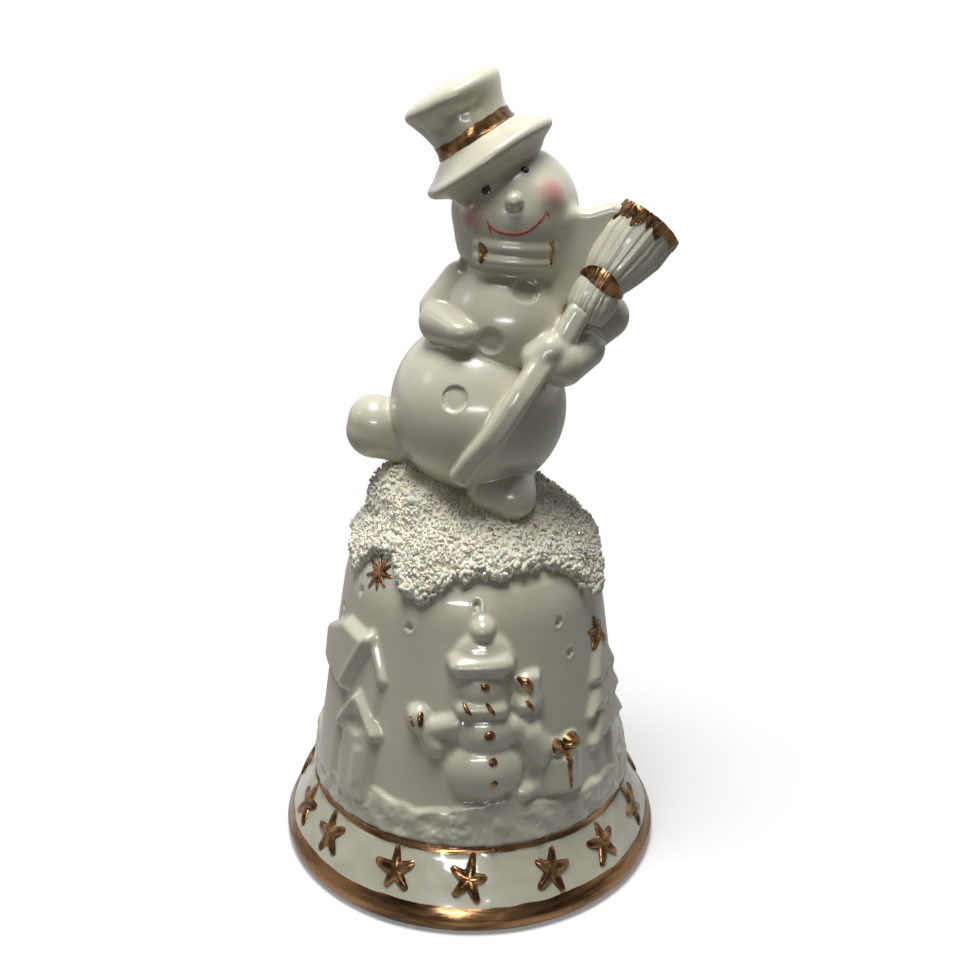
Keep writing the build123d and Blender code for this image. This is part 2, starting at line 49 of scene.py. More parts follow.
# Shader maths as plain expressions: a Shade is one output socket of a node tree
class Shade:
    def __init__(self, tree, socket=None):
        self.tree, self.socket = tree, socket

    def node(self, kind, settings=None, sockets=None, out=0):
        made = self.tree.nodes.new(kind)
        for name, value in (settings or {}).items():
            if name == "stops":
                for _ in value[2:]:
                    made.color_ramp.elements.new(0.5)
                for stop, (place, colour) in zip(made.color_ramp.elements, value):
                    stop.position, stop.color = place, colour
            else:
                setattr(made, name, value)
        for name, value in (sockets or {}).items():
            if isinstance(value, Shade):
                self.tree.links.new(value.socket, made.inputs[name])
            else:
                made.inputs[name].default_value = value
        return Shade(self.tree, made.outputs[out])

    def maths(self, operation, first, second):
        return self.node("ShaderNodeMath", {"operation": operation}, {0: first, 1: second})

    def __add__(self, other):
        return self.maths("ADD", self, other)

    def __radd__(self, other):
        return self.maths("ADD", other, self)

    def __sub__(self, other):
        return self.maths("SUBTRACT", self, other)

    def __rsub__(self, other):
        return self.maths("SUBTRACT", other, self)

    def __mul__(self, other):
        return self.maths("MULTIPLY", self, other)

    def __rmul__(self, other):
        return self.maths("MULTIPLY", other, self)

    def larger(self, other):
        return self.maths("MAXIMUM", self, other)

    def step(self, low, high):
        # 0 below low, 1 above high and a soft rise between them
        values = {"Value": self, "From Min": low, "From Max": high}
        return self.node("ShaderNodeMapRange", {"interpolation_type": "SMOOTHSTEP"}, values)

    def mix(self, dark, light):
        # a colour between two colours, this value being the share of the second
        sides = {"Factor": self, 6: dark, 7: light}
        return self.node("ShaderNodeMix", {"data_type": "RGBA"}, sides, 2)


def colour(red, green, blue):
    return (red, green, blue, 1.0)


def startMaterial(name):
    # a new material, its tree and the Object coordinates in it
    material = bpy.data.materials.new(name)
    material.use_nodes = True
    tree = material.node_tree
    tree.nodes.clear()
    place = Shade(tree).node("ShaderNodeTexCoord", out=3)
    return material, tree, place


def finishMaterial(tree, sockets):
    surface = Shade(tree).node("ShaderNodeBsdfPrincipled", None, sockets)
    output = tree.nodes.new("ShaderNodeOutputMaterial")
    tree.links.new(surface.socket, output.inputs[0])


def grain(place, scale, detail=2.0, rough=0.5):
    # fractal noise, scale being the number of lumps in a metre
    values = {"Vector": place, "Scale": scale, "Detail": detail, "Roughness": rough}
    return place.node("ShaderNodeTexNoise", None, values)


def cells(place, scale, out=0):
    return place.node("ShaderNodeTexVoronoi", {"feature": "F1"}, {"Vector": place, "Scale": scale}, out)


def bump(height, distance):
    return height.node("ShaderNodeBump", None, {"Height": height, "Distance": distance, "Strength": 1.0})


def axes(place):
    # its X, Y and Z
    split = place.node("ShaderNodeSeparateXYZ", None, {0: place}).socket.node
    return [Shade(place.tree, output) for output in split.outputs]


# Mesh helpers
def clearSelection():
    if bpy.context.object and bpy.context.object.mode != "OBJECT":
        bpy.ops.object.mode_set(mode="OBJECT")
    bpy.ops.object.select_all(action="DESELECT")


def pickOnly(*objs):
    clearSelection()
    for obj in objs:
        obj.select_set(True)
    bpy.context.view_layer.objects.active = objs[0]


def settle(obj):
    # put the place, turn and size into the mesh
    pickOnly(obj)
    bpy.ops.object.transform_apply(location=True, rotation=True, scale=True)


def readPoints(obj):
    points = np.empty(len(obj.data.vertices) * 3)
    obj.data.vertices.foreach_get("co", points)
    return points.reshape(-1, 3) / mm


def writePoints(obj, points):
    obj.data.vertices.foreach_set("co", (points * mm).ravel())
    obj.data.update()


def addModifier(obj, kind, **settings):
    pickOnly(obj)
    modifier = obj.modifiers.new(kind.lower(), kind)
    for name, value in settings.items():
        setattr(modifier, name, value)
    bpy.ops.object.modifier_apply(modifier=modifier.name)


def outward(obj, gap=0.0):
    # merge points that are closer than gap, and turn the faces outwards
    pickOnly(obj)
    bpy.ops.object.mode_set(mode="EDIT")
    bpy.ops.mesh.select_all(action="SELECT")
    if gap:
        bpy.ops.mesh.remove_doubles(threshold=gap * mm)
    bpy.ops.mesh.normals_make_consistent(inside=False)
    bpy.ops.object.mode_set(mode="OBJECT")


def spun(name, section, steps):
    # a loop of points (radius, height) turned about Z, closed where it meets the axis
    clearSelection()
    bpy.ops.mesh.primitive_circle_add(vertices=len(section), radius=mm)
    obj = bpy.context.object
    obj.name = name
    writePoints(obj, np.array([(radius, 0.0, height) for radius, height in section]))
    bpy.ops.object.mode_set(mode="EDIT")
    bpy.ops.mesh.select_all(action="SELECT")
    bpy.ops.mesh.spin(steps=steps, angle=tau, center=(0, 0, 0), axis=(0, 0, 1), use_auto_merge=True)
    bpy.ops.mesh.select_all(action="SELECT")
    bpy.ops.mesh.remove_doubles(threshold=0.01 * mm)
    bpy.ops.mesh.normals_make_consistent(inside=False)
    bpy.ops.object.mode_set(mode="OBJECT")
    return obj


def finishPiece(obj, material, body, stands=(), smooth=60):
    obj.data.materials.clear()
    obj.data.materials.append(material)
    pickOnly(obj)
    bpy.ops.object.shade_smooth_by_angle(angle=radians(smooth))
    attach(obj, body)
    if stands:
        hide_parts(*stands)


# Smooth maths on arrays of points
def ease(value):
    value = np.clip(value, 0, 1)
    return value * value * (3 - 2 * value)


def unit(ways):
    return ways / np.linalg.norm(ways, axis=1)[:, None]


def onRing(radius, azimuth, height):
    # places at an azimuth, which is 0 in front and grows towards +X
    turn = np.radians(azimuth)
    return np.stack([radius * np.sin(turn), -radius * np.cos(turn), height], axis=1)


def azimuthOf(points):
    return np.degrees(np.arctan2(points[:, 0], -points[:, 1]))


def softMax(first, second, soft):
    share = np.clip(0.5 + 0.5 * (first - second) / soft, 0, 1)
    return second + (first - second) * share + soft * share * (1 - share)


def softMin(first, second, soft):
    return -softMax(-first, -second, soft)


def lumps(points, size, seed=0.0):
    # smooth noise between -1 and 1, size being the width of a lump in millimetres
    shift = Vector((seed, 2 * seed, 3 * seed))
    return np.array([noise.noise(Vector(point) / size + shift) for point in points])


def toSegment(points, start, end):
    # how far each point is from a line, and how far along it the nearest place is
    start, line = np.array(start, float), np.subtract(end, start).astype(float)
    along = np.clip((points - start) @ line / (line @ line), 0, 1)
    return np.linalg.norm(points - start - along[:, None] * line, axis=1), along


def inside(points, corners):
    # distance into a flat outline, negative outside it
    reach, odd = np.full(len(points), np.inf), np.zeros(len(points), bool)
    for here, there in zip(corners, corners[1:] + corners[:1]):
        reach = np.minimum(reach, toSegment(points, here, there)[0])
        rises = (here[1] > points[:, 1]) != (there[1] > points[:, 1])
        slope = (there[0] - here[0]) / ((there[1] - here[1]) or 1e-9)
        odd ^= rises & (points[:, 0] < slope * (points[:, 1] - here[1]) + here[0])
    return np.where(odd, reach, -reach)


def smoothLine(points, spacing):
    # a finer line through the points, rounded as a hand would draw it
    points = np.array(points, float)
    ends = np.vstack([2 * points[0] - points[1], points, 2 * points[-1] - points[-2]])
    line = [points[0]]
    for number in range(len(points) - 1):
        a, b, c, d = ends[number:number + 4]
        for share in np.linspace(0, 1, max(2, int(np.linalg.norm(c - b) / spacing) + 1))[1:]:
            flow = b * 2 + (c - a) * share + (2 * a - 5 * b + 4 * c - d) * share**2
            line.append((flow + (3 * b - a - 3 * c + d) * share**3) / 2)
    return np.array(line)


def alongLine(line, spacing, along, reach):
    # places along a smoothed line, and the way that it runs there
    places = smoothLine(line, spacing)
    marks = np.linspace(0, 1, len(places))

    def placeAt(share):
        return np.stack([np.interp(np.clip(share, 0, 1), marks, column) for column in places.T], axis=1)

    return placeAt(along), unit(placeAt(along + reach) - placeAt(along - reach))


def strokeWidth(along, widths, blunt):
    # half widths along a stroke whose ends are rounded
    wide = np.interp(along, np.linspace(0, 1, len(widths)), widths)
    return wide * np.sqrt(np.clip(1 - (2 * along - 1) ** blunt, 0.02, 1))


def gridPiece(name, across, along):
    # a flat grid to be wrapped; returns it and each vertex's place between 0 and 1
    clearSelection()
    bpy.ops.mesh.primitive_grid_add(x_subdivisions=across, y_subdivisions=along, size=2 * mm)
    obj = bpy.context.object
    obj.name = name
    places = readPoints(obj)[:, :2] / 2 + 0.5
    return obj, places[:, 0], places[:, 1]


def wrapped(obj, shape):
    # give the grid its shape and close its seam
    writePoints(obj, shape)
    outward(obj, 0.005)
    return obj


# The bell: its section, then the raised picture on it as heights over azimuth and height
bellShape = {
    "rimCentre": 35.8,
    "rimRadius": 2.2,
    "rimTurn": 33.0,
    "waistRadius": 31.65,
    "skirtTop": 14.3,
    "domeFoot": (31.3, 14.7),
    "shoulder": (24.9, 56.0),
    "crownPull": ((23.1, 67.7), (13.944, 75.5), (0.0, 75.5)),
    "footInside": 33.6,
    "insideWaist": (28.3, 14.3),
    "insideShoulder": (21.9, 56.0),
    "insidePull": ((20.38, 65.9), (12.264, 72.5), (0.0, 72.5)),
    "ventRadius": 1.35,
    "columns": 396,
    "frontShare": 0.4,  # how much closer the columns stand in front
}


def straight(start, end, count):
    return [tuple(np.add(start, np.subtract(end, start) * i / count)) for i in range(count)]


def pulled(start, pulls, count):
    # points of a Bezier curve
    share = np.linspace(0, 1, count + 1)[:, None]
    ends = [np.array(point) for point in (start, *pulls)]
    weights = [(1 - share) ** 3, 3 * share * (1 - share) ** 2, 3 * share**2 * (1 - share), share**3]
    return [tuple(point) for point in sum(weight * end for weight, end in zip(weights, ends))]


def bellOutside():
    shape = bellShape
    turns = np.radians(np.linspace(-90, shape["rimTurn"], 13))
    lip = [
        (shape["rimCentre"] + shape["rimRadius"] * cos(turn), shape["rimRadius"] * (1 + sin(turn)))
        for turn in turns
    ]
    waist = (shape["waistRadius"], shape["skirtTop"])
    line = lip[:-1] + straight(lip[-1], waist, 26) + straight(waist, shape["domeFoot"], 2)
    line += straight(shape["domeFoot"], shape["shoulder"], 112)
    crown = pulled(shape["shoulder"], shape["crownPull"], 50)
    return line + [point for point in crown if point[0] > shape["ventRadius"]]


outsideLine = np.array(bellOutside())
outsideTurns = unit(np.gradient(outsideLine, axis=0))
outsideNormals = np.stack([outsideTurns[:, 1], -outsideTurns[:, 0]], axis=1)


def outsideAt(height):
    # radius of the plain bell at a height, and the outward direction there
    return [np.interp(height, outsideLine[:, 1], column) for column in (outsideLine[:, 0], *outsideNormals.T)]


relief = {
    "bankTop": 23.2,  # snow bank along the dome's foot
    "bankProud": 1.15,
    "figureAzimuth": 5.0,
    "firs": [66.0, 128.0, 206.0],
    "firFoot": 23.0,
    # hem and tip above the foot, and half width
    "firTiers": [(5.6, 17.0, 9.0), (11.4, 23.0, 8.3), (16.8, 28.0, 6.7)],
    "meanRadius": 29.0,
    "pictureSpan": (14.0, 64.0),
    "reliefSpan": (14.7, 63.5),
    "melt": 0.42,  # how far the glaze rounds the picture
    "cell": 0.15,
    # azimuth and height of the small round pits
    "pits": [
        (2, 61.2), (-27, 55.9), (39, 55.9), (44, 49.2), (-74, 52.4), (-58, 58.6), (96, 53), (112, 58),
        (150, 47), (172, 56), (-100, 57), (-128, 50), (-150, 57), (100, 40), (-95, 43), (182, 38), (-178, 49),
    ],
    "pitDepth": 0.8,
    "pitRadius": 0.8,
}


def aroundTo(azimuth, height, centre):
    # millimetres sideways from an upright line on the bell, and the height, as flat places
    turn = (azimuth - centre + 180) % 360 - 180
    return np.stack([np.radians(turn) * outsideAt(height)[0], height], axis=1)


def dome(flat, centre, half, proud, power=0.7):
    off = (flat - centre) / half
    return proud * np.clip(1 - (off**2).sum(axis=1), 0, 1) ** power


def bar(flat, start, end, radius, proud, endRadius=None, power=0.7):
    reach, along = toSegment(flat, start, end)
    width = radius + ((endRadius or radius) - radius) * along
    return proud * np.clip(1 - (reach / width) ** 2, 0, 1) ** power


def plate(flat, corners, proud, edge=0.5):
    return proud * ease(inside(flat, corners) / edge + 0.3)


def fir(flat):
    # three drooping tiers with scalloped hems
    foot = relief["firFoot"]
    high = np.zeros(len(flat))
    for hemAbove, tipAbove, half in relief["firTiers"]:
        low, top = foot + hemAbove, foot + tipAbove
        share = np.clip((top - flat[:, 1]) / (top - low), 0, 1.2)
        hem = low + 1.3 * np.abs(np.sin(flat[:, 0] * pi / 3.4)) - 0.02 * flat[:, 0] ** 2
        width = half * share**0.85
        edge = np.minimum((width - np.abs(flat[:, 0])) * 0.8, flat[:, 1] - hem)
        body = (0.9 + 1.3 * share) * ease(edge / 0.9)
        body = body * (1 - 0.18 * np.sin(flat[:, 0] * 2.4 + flat[:, 1] * 0.9) ** 2)
        high = np.maximum(high, body)
    trunk = plate(flat, [(-1.5, foot - 3), (1.5, foot - 3), (1.5, foot + 7), (-1.5, foot + 7)], 1.0)
    return np.maximum(high, trunk)


def house(azimuth, height):
    flat = aroundTo(azimuth, height, -62.0)
    wall = plate(flat, [(2.4, 19), (11.4, 19), (11.4, 43), (7.8, 50), (2.4, 41)], 0.9, 0.8)
    wall = np.maximum(wall, plate(flat, [(-7.0, 19), (2.6, 19), (2.6, 40), (-7.0, 40)], 1.5, 0.8))
    roof = plate(flat, [(0.4, 52.6), (7.9, 51.6), (2.4, 39.0), (-7.4, 40.6), (-8.6, 47.6)], 2.5, 1.2)
    roof = np.maximum(roof, bar(flat, (7.4, 51.4), (2.4, 40.4), 1.3, 2.9))
    roof = np.maximum(roof, bar(flat, (7.9, 51.2), (11.6, 44.0), 0.9, 1.6))
    porch = aroundTo(azimuth, height, -47.3)
    front = plate(porch, [(-3.6, 19), (4.6, 19), (4.6, 33), (0, 38.5), (-3.6, 33)], 1.9)
    gable = bar(porch, (-4.3, 32.6), (0, 39.6), 1.2, 3.0)
    gable = np.maximum(gable, bar(porch, (4.9, 33.4), (0, 39.6), 1.0, 2.7))
    door = plate(porch, [(0.8, 22.0), (3.1, 22.6), (3.0, 30.4), (0.7, 29.8)], 0.45, 0.3)
    hollow = dome(porch, (0.3, 34.6), (2.4, 2.4), 1.3)
    return np.maximum(np.maximum(wall, roof), np.maximum(front + door - hollow, gable))


def gift(azimuth, height):
    flat = aroundTo(azimuth, height, 35.6)
    box = plate(flat, [(-4.6, 23.4), (4.1, 22.2), (4.5, 29.6), (0, 30.9), (-4.4, 31.2)], 1.0, 0.6)
    bow = dome(flat, (-1.7, 32.3), (1.9, 1.6), 2.3)
    bow = np.maximum(bow, dome(flat, (1.9, 32.4), (2.3, 1.8), 2.6))
    return np.maximum(box * (2.6 - 0.3 * np.abs(flat[:, 0])), bow)


def smallSnowman(azimuth, height):
    flat = aroundTo(azimuth, height, relief["figureAzimuth"])
    high = dome(flat, (0.2, 30.1), (7.4, 6.0), 3.1, 0.55)
    high = softMax(high, dome(flat, (0.4, 37.7), (5.8, 4.7), 3.0, 0.55), 0.2)
    high = softMax(high, dome(flat, (-0.5, 46.2), (5.3, 5.2), 3.0, 0.6), 0.2)
    high = softMax(high, bar(flat, (-3.6, 42.6), (2.6, 42.5), 1.9, 3.35, power=0.5), 0.2)
    cap = dome(flat, (-0.2, 51.4), (5.5, 5.2), 2.5, 0.5)
    high = softMax(high, cap * ease((height - 50) / 0.8), 0.2)
    high = softMax(high, bar(flat, (-4.6, 50.7), (3.2, 50.9), 1.9, 3.8, 2.3, power=0.45), 0.15)
    high = softMax(high, dome(flat, (-0.3, 57.0), (2.3, 2.2), 2.9, 0.5), 0.15)
    arm = bar(flat, (-5.0, 39.4), (-9.2, 38.0), 2.0, 2.1, power=0.5)
    arm = softMax(arm, bar(flat, (-10.0, 37.2), (-9.0, 34.6), 2.0, 2.0, power=0.5), 0.2)
    arm = softMax(arm, dome(flat, (-12.0, 39.4), (2.4, 2.6), 2.3, 0.5), 0.2)
    high = softMax(high, arm, 0.2)
    sleeve = bar(flat, (5.6, 38.6), (8.6, 35.4), 2.2, 2.3, power=0.5)
    sleeve = softMax(sleeve, bar(flat, (8.2, 36.4), (10.2, 32.8), 2.7, 2.7, 2.9, power=0.5), 0.2)
    high = softMax(high, sleeve, 0.2)
    leaf = [(5.6, 47.4), (8.0, 48.4), (10.4, 48.2), (10.6, 45.0)]
    leaf += [(11.2, 42.4), (9.6, 40.0), (6.8, 41.0), (6.4, 44.0)]
    brush = plate(flat, leaf, 2.0, 0.8) - 0.3 * np.abs(np.sin(flat[:, 0] * 1.6 + height * 0.35))
    brush = np.maximum(brush * (inside(flat, leaf) > -0.3), bar(flat, (10.6, 24.5), (10.4, 37), 0.7, 1.5))
    brush = softMax(brush, dome(flat, (7.4, 42.4), (2.4, 2.1), 2.5, 0.5), 0.2)
    high = softMax(high, brush, 0.15)
    return softMax(high, dome(flat, (7.6, 25.2), (2.6, 2.1), 1.9, 0.6), 0.2)


def melted(picture, axis, cells):
    # rounds the picture along one axis, cells being the spread
    reach = int(3 * cells)
    steps = range(-reach, reach + 1)
    weights = [np.exp(-0.5 * (step / cells) ** 2) for step in steps]
    parts = [weight * np.roll(picture, step, axis) for step, weight in zip(steps, weights)]
    return sum(parts) / sum(weights)


def makePicture():
    # the raised picture over azimuth and height, softened as thick glaze does
    cell = relief["cell"]
    azimuths = np.linspace(-180, 180, int(tau * relief["meanRadius"] / cell), endpoint=False)
    heights = np.arange(*relief["pictureSpan"], cell)
    azimuth, height = [side.ravel() for side in np.meshgrid(azimuths, heights, indexing="ij")]
    picture = np.maximum(gift(azimuth, height), smallSnowman(azimuth, height))
    picture = np.maximum(picture, house(azimuth, height))
    for centre in relief["firs"]:
        picture = np.maximum(picture, fir(aroundTo(azimuth, height, centre)))
    picture = picture.reshape(len(azimuths), len(heights))
    for axis in (0, 1):
        picture = melted(picture, axis, relief["melt"] / cell)
    return picture


picture = makePicture()


def pictureAt(azimuth, height):
    # the picture's height between its cells
    across = np.mod(azimuth + 180, 360) / 360 * picture.shape[0]
    up = np.clip((height - relief["pictureSpan"][0]) / relief["cell"], 0, picture.shape[1] - 1.001)
    left, low = across.astype(int) % picture.shape[0], up.astype(int)
    right, shareX, shareY = (left + 1) % picture.shape[0], across % 1, up % 1
    lower = picture[left, low] * (1 - shareX) + picture[right, low] * shareX
    upper = picture[left, low + 1] * (1 - shareX) + picture[right, low + 1] * shareX
    return lower * (1 - shareY) + upper * shareY


def reliefAt(azimuth, height):
    # how far the porcelain stands out of the plain bell
    azimuth, height = np.broadcast_arrays(np.asarray(azimuth, float), np.asarray(height, float))
    turn = np.radians(azimuth)
    ring = onRing(relief["meanRadius"], azimuth, height)
    start, end = relief["reliefSpan"]
    within = (height > start) & (height < end)
    top = relief["bankTop"] + 1.2 * np.sin(3 * turn + 0.9) + 0.8 * np.sin(7 * turn)
    top = top + 1.2 * lumps(ring, 4.0, 5.0)
    rough = 0.5 * lumps(ring, 2.6) - 0.35 * np.abs(lumps(ring, 1.3, 3.0))
    bank = (relief["bankProud"] + rough) * ease((top - height) / 1.2) * ease((height - start) / 1.0)
    high = np.where(within, softMax(pictureAt(azimuth, height), bank, 0.3), 0)
    for place, level in relief["pits"]:
        flat = aroundTo(azimuth, height, place)
        reach = np.hypot(flat[:, 0], flat[:, 1] - level)
        dent = relief["pitDepth"] * np.clip(1 - (reach / relief["pitRadius"]) ** 2, 0, 1)
        high -= dent - 0.10 * np.exp(-((reach - 1.1) ** 2) / 0.08)
    wave = 0.05 * lumps(ring, 9.0, 7.0) + 0.02 * lumps(ring, 4.0, 8.0)
    skirt = ease((height - 3) / 2) * ease((14.3 - height) / 1.5)
    swell = 0.10 * np.sin(14 * turn + 2 * np.sin(3 * turn)) + 0.17 * lumps(ring, 3.0, 11.0)
    return high + wave + skirt * swell


def bellPoint(azimuth, height, lift=0.0):
    # a place on the finished surface, lift above it
    radius, across, rise = outsideAt(height)
    out = reliefAt(azimuth, height) + lift
    return onRing(radius + across * out, azimuth, height + rise * out)


def makeBell():
    shape = bellShape
    hole = shape["ventRadius"]
    crownInside = pulled(shape["insideShoulder"], shape["insidePull"], 16)
    crownInside = [point for point in crownInside if point[0] > hole]
    foot = [(shape["footInside"], 0.6), (shape["footInside"] + 0.6, 0.0), (shape["rimCentre"] - 0.7, 0.0)]
    line = [tuple(point) for point in outsideLine] + [(hole, 75.3), (hole, 74.0), (hole, 72.7)]
    line += crownInside[::-1]
    line += straight(shape["insideShoulder"], shape["insideWaist"], 12)[1:]
    line += straight(shape["insideWaist"], (shape["footInside"], 2.2), 5)
    line += [(shape["footInside"], 1.4)] + foot
    obj = spun("bellBody", line, shape["columns"])
    points = readPoints(obj)
    radius = np.hypot(points[:, 0], points[:, 1])
    azimuth = np.arctan2(points[:, 0], -points[:, 1])
    azimuth = np.degrees(azimuth - shape["frontShare"] * np.sin(azimuth))
    section = np.array(line)
    nearest = np.concatenate([
        ((chunk[:, None, :] - section[None]) ** 2).sum(axis=2).argmin(axis=1)
        for chunk in np.array_split(np.stack([radius, points[:, 2]], axis=1), 40)
    ])
    outer = nearest < len(outsideLine)
    turn = np.radians(azimuth)
    points[:, 0], points[:, 1] = radius * np.sin(turn), -radius * np.cos(turn)
    points[outer] = bellPoint(azimuth[outer], points[outer, 2])
    writePoints(obj, points)
    return obj


bellBody = makeBell()
print("bell made:", len(bellBody.data.polygons), "faces")


# Gold on the bell: rings, stars and strokes that lie on the relief
gilding = {
    "thick": 0.12,
    "lipSpan": (0.7, 5.2),
    "waistSpan": (13.75, 14.95),
    "skirtStars": [-71.7, -52.5, -23.6, 0.0, 26.9, 49.0, 73.7, 103, 128, 154, 180, -154, -129, -100],
    "skirtStarHeight": 9.6,
    "skirtStarRadius": 4.1,
    "domeStars": [(64.0, 49.8), (82.0, 57.5), (-118.0, 50.2), (150.0, 51.0), (-165.0, 46.8)],
    "domeStarRadius": 3.5,
    "burst": (-49.0, 63.2),
    "burstRadius": 3.4,
    # rays of each sort of star, and their half widths at root and tip
    "skirtStar": (5, 0.33, 0.15),
    "domeStar": (5, 0.3, 0.13),
    "burstStar": (9, 0.2, 0.05),
    "button": (3, 0.9, 0.85),
    "ringColumns": 420,
}


def solidFilm(obj, thick):
    # the film's under side sinks into the porcelain
    addModifier(obj, "SOLIDIFY", thickness=thick * mm, offset=-1.0)
    return obj


def discPiece(name, corners, rings):
    # a disc of rings; returns it, how far out each vertex is and which way
    clearSelection()
    bpy.ops.mesh.primitive_circle_add(vertices=corners, radius=mm, fill_type="NGON")
    obj = bpy.context.object
    obj.name = name
    bpy.ops.object.mode_set(mode="EDIT")
    bpy.ops.mesh.select_all(action="SELECT")
    for _ in range(rings - 1):
        bpy.ops.mesh.inset(thickness=mm / rings)
    bpy.ops.mesh.poke()
    bpy.ops.object.mode_set(mode="OBJECT")
    places = readPoints(obj)
    return obj, np.hypot(places[:, 0], places[:, 1]), np.arctan2(places[:, 0], places[:, 1])


def joined(name, parts):
    pickOnly(*parts)
    if len(parts) > 1:
        bpy.ops.object.join()
    bpy.context.object.name = name
    return bpy.context.object


def ringOnBell(name, span, waver, seed, rows=14):
    obj, around, along = gridPiece(name, gilding["ringColumns"], rows)
    turn = around * tau
    place = np.stack([np.sin(turn) * 9, np.cos(turn) * 9, np.zeros(len(turn))], axis=1)
    edge = waver * (lumps(place, 2.4, seed) + 0.6 * lumps(place, 0.8, seed + 1))
    height = span[0] + (span[1] - span[0]) * along
    height += np.where(along < 0.5, edge, 0.8 * edge[::-1])  # the upper edge wavers in its own way
    points = bellPoint(around * 360, np.clip(height, 0.02, 75), gilding["thick"])
    return solidFilm(wrapped(obj, points), 2 * gilding["thick"])


def starOnBell(azimuth, height, radius, shape, tilt, seed):
    # a hand-painted star: tapered rays of uneven length with round tips
    points, root, tip = shape
    obj, out, way = discPiece("star", 24 * points, 8)
    chance = np.random.default_rng(seed)
    turn = (way - tilt) / tau * points
    number = np.round(turn)
    ray = np.mod(number, points).astype(int)
    length = (1 + 0.07 * chance.standard_normal(points))[ray] * (1 - tip)
    away = np.abs(turn - number) * tau / points
    side = root / (np.sin(away) + (root - tip) * np.cos(away) / length)
    cap = length * np.cos(away) + np.sqrt(np.maximum(tip**2 - (length * np.sin(away)) ** 2, 0))
    reach = radius * np.where(away < np.arctan(tip / length), cap, side) * out
    lift = gilding["thick"] + 0.5 * radius * min(root, 0.4) * np.sqrt(np.clip(1 - out**2, 0, 1))
    across, rise = reach * np.sin(way), reach * np.cos(way)
    base = outsideAt(np.full(len(out), height))[0]
    writePoints(obj, bellPoint(azimuth + np.degrees(across / base), height + rise, lift))
    return solidFilm(obj, 0.5)


def strokeOnBell(centre, line, width, lift=0.3, rows=24):
    # a brush stroke along flat places beside an upright line
    obj, along, across = gridPiece("stroke", rows, 6)
    middle, flow = alongLine(line, 0.2, along, 0.05)
    share = (across - 0.5) * 2
    side = np.stack([-flow[:, 1], flow[:, 0]], axis=1)
    flat = middle + side * (share * strokeWidth(along, width, 6))[:, None]
    proud = gilding["thick"] + lift * np.clip(1 - share**2, 0, 1) * np.clip(1 - (2 * along - 1) ** 4, 0, 1)
    base = outsideAt(flat[:, 1])[0]
    points = bellPoint(centre + np.degrees(flat[:, 0] / base), flat[:, 1], proud)
    return solidFilm(wrapped(obj, points), 0.4)


# centre azimuth, then strokes: places across and up, half widths along them
bellStrokes = {
    "smallTrim": (5.0, [
        ([(-0.8, 47.7), (0.0, 47.3), (0.4, 46.6)], [0.3, 0.75, 0.5]),  # nose
        ([(-3.7, 44.2), (-3.0, 43.1), (-2.3, 41.9)], [0.25, 0.4, 0.2]),  # scarf
        ([(0.1, 44.2), (0.8, 43.1), (1.5, 41.9)], [0.25, 0.4, 0.25]),
        ([(-13.0, 40.5), (-12.8, 39.4), (-12.4, 38.1)], [0.15, 0.35, 0.2]),  # left mitten
        ([(-11.2, 41.1), (-11.1, 39.8), (-11.1, 37.8)], [0.5, 0.5, 0.3]),
        ([(5.9, 47.6), (7.1, 46.8), (7.9, 45.5), (8.1, 44.5)], [0.35, 0.9, 0.8, 0.2]),  # broom
        ([(7.0, 43.8), (7.9, 42.4), (8.6, 41.2)], [0.25, 0.42, 0.2]),
    ]),
    "giftRibbon": (35.6, [
        ([(0.1, 32.0), (-1.3, 32.7), (-2.9, 32.8)], [0.9, 1.35, 0.9]),
        ([(0.0, 32.0), (1.2, 32.6), (2.5, 32.8), (3.5, 32.2)], [0.9, 1.45, 1.5, 0.8]),
        ([(0.3, 32.4), (0.4, 30.6), (0.3, 27.6), (0.2, 24.0)], [1.2, 0.7, 0.5, 0.3]),
    ]),
}
# place across, height and radius of each
smallButtons = [(0.7, 38.0, 0.98), (1.3, 32.8, 0.78), (1.45, 28.7, 0.66)]


def makeGilding():
    lip = ringOnBell("lipGilding", gilding["lipSpan"], 0.35, 21.0)
    waist = ringOnBell("waistGilding", gilding["waistSpan"], 0.28, 27.0, rows=8)
    stars, domeStars = [], []
    for number, azimuth in enumerate(gilding["skirtStars"]):
        height, tilt = gilding["skirtStarHeight"] + 0.3 * sin(3.1 * number), 0.3 * sin(5 * number)
        star = starOnBell(azimuth, height, gilding["skirtStarRadius"], gilding["skirtStar"], tilt, number)
        stars.append(star)
    for number, place in enumerate(gilding["domeStars"]):
        star = starOnBell(*place, gilding["domeStarRadius"], gilding["domeStar"], 0.3 * number, 40 + number)
        domeStars.append(star)
    burst = starOnBell(*gilding["burst"], gilding["burstRadius"], gilding["burstStar"], 0.1, 60)
    trims = {}
    for name, (centre, strokes) in bellStrokes.items():
        trims[name] = [strokeOnBell(centre, line, width) for line, width in strokes]
    for across, height, radius in smallButtons:
        turn = relief["figureAzimuth"] + degrees(across / outsideAt(height)[0])
        trims["smallTrim"].append(starOnBell(turn, height, radius, gilding["button"], 0.0, 70))
    return {
        "lip_gilding": lip,
        "waist_gilding": waist,
        "skirt_stars": joined("skirtStars", stars),
        "dome_stars": joined("domeStars", domeStars),
        "starburst": joined("burstStar", [burst]),
        "small_trim": joined("smallTrim", trims["smallTrim"]),
        "gift_ribbon": joined("giftRibbon", trims["giftRibbon"]),
    }


# The snowman: balls and rods of clay joined, remeshed and drawn onto one smooth form
def ballOf(node):
    low, high = [np.array(corner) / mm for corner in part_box(node)]
    radius = (high[1] - low[1]) / 2
    return np.array([high[0] - radius, 0.0, high[2] - radius]), radius


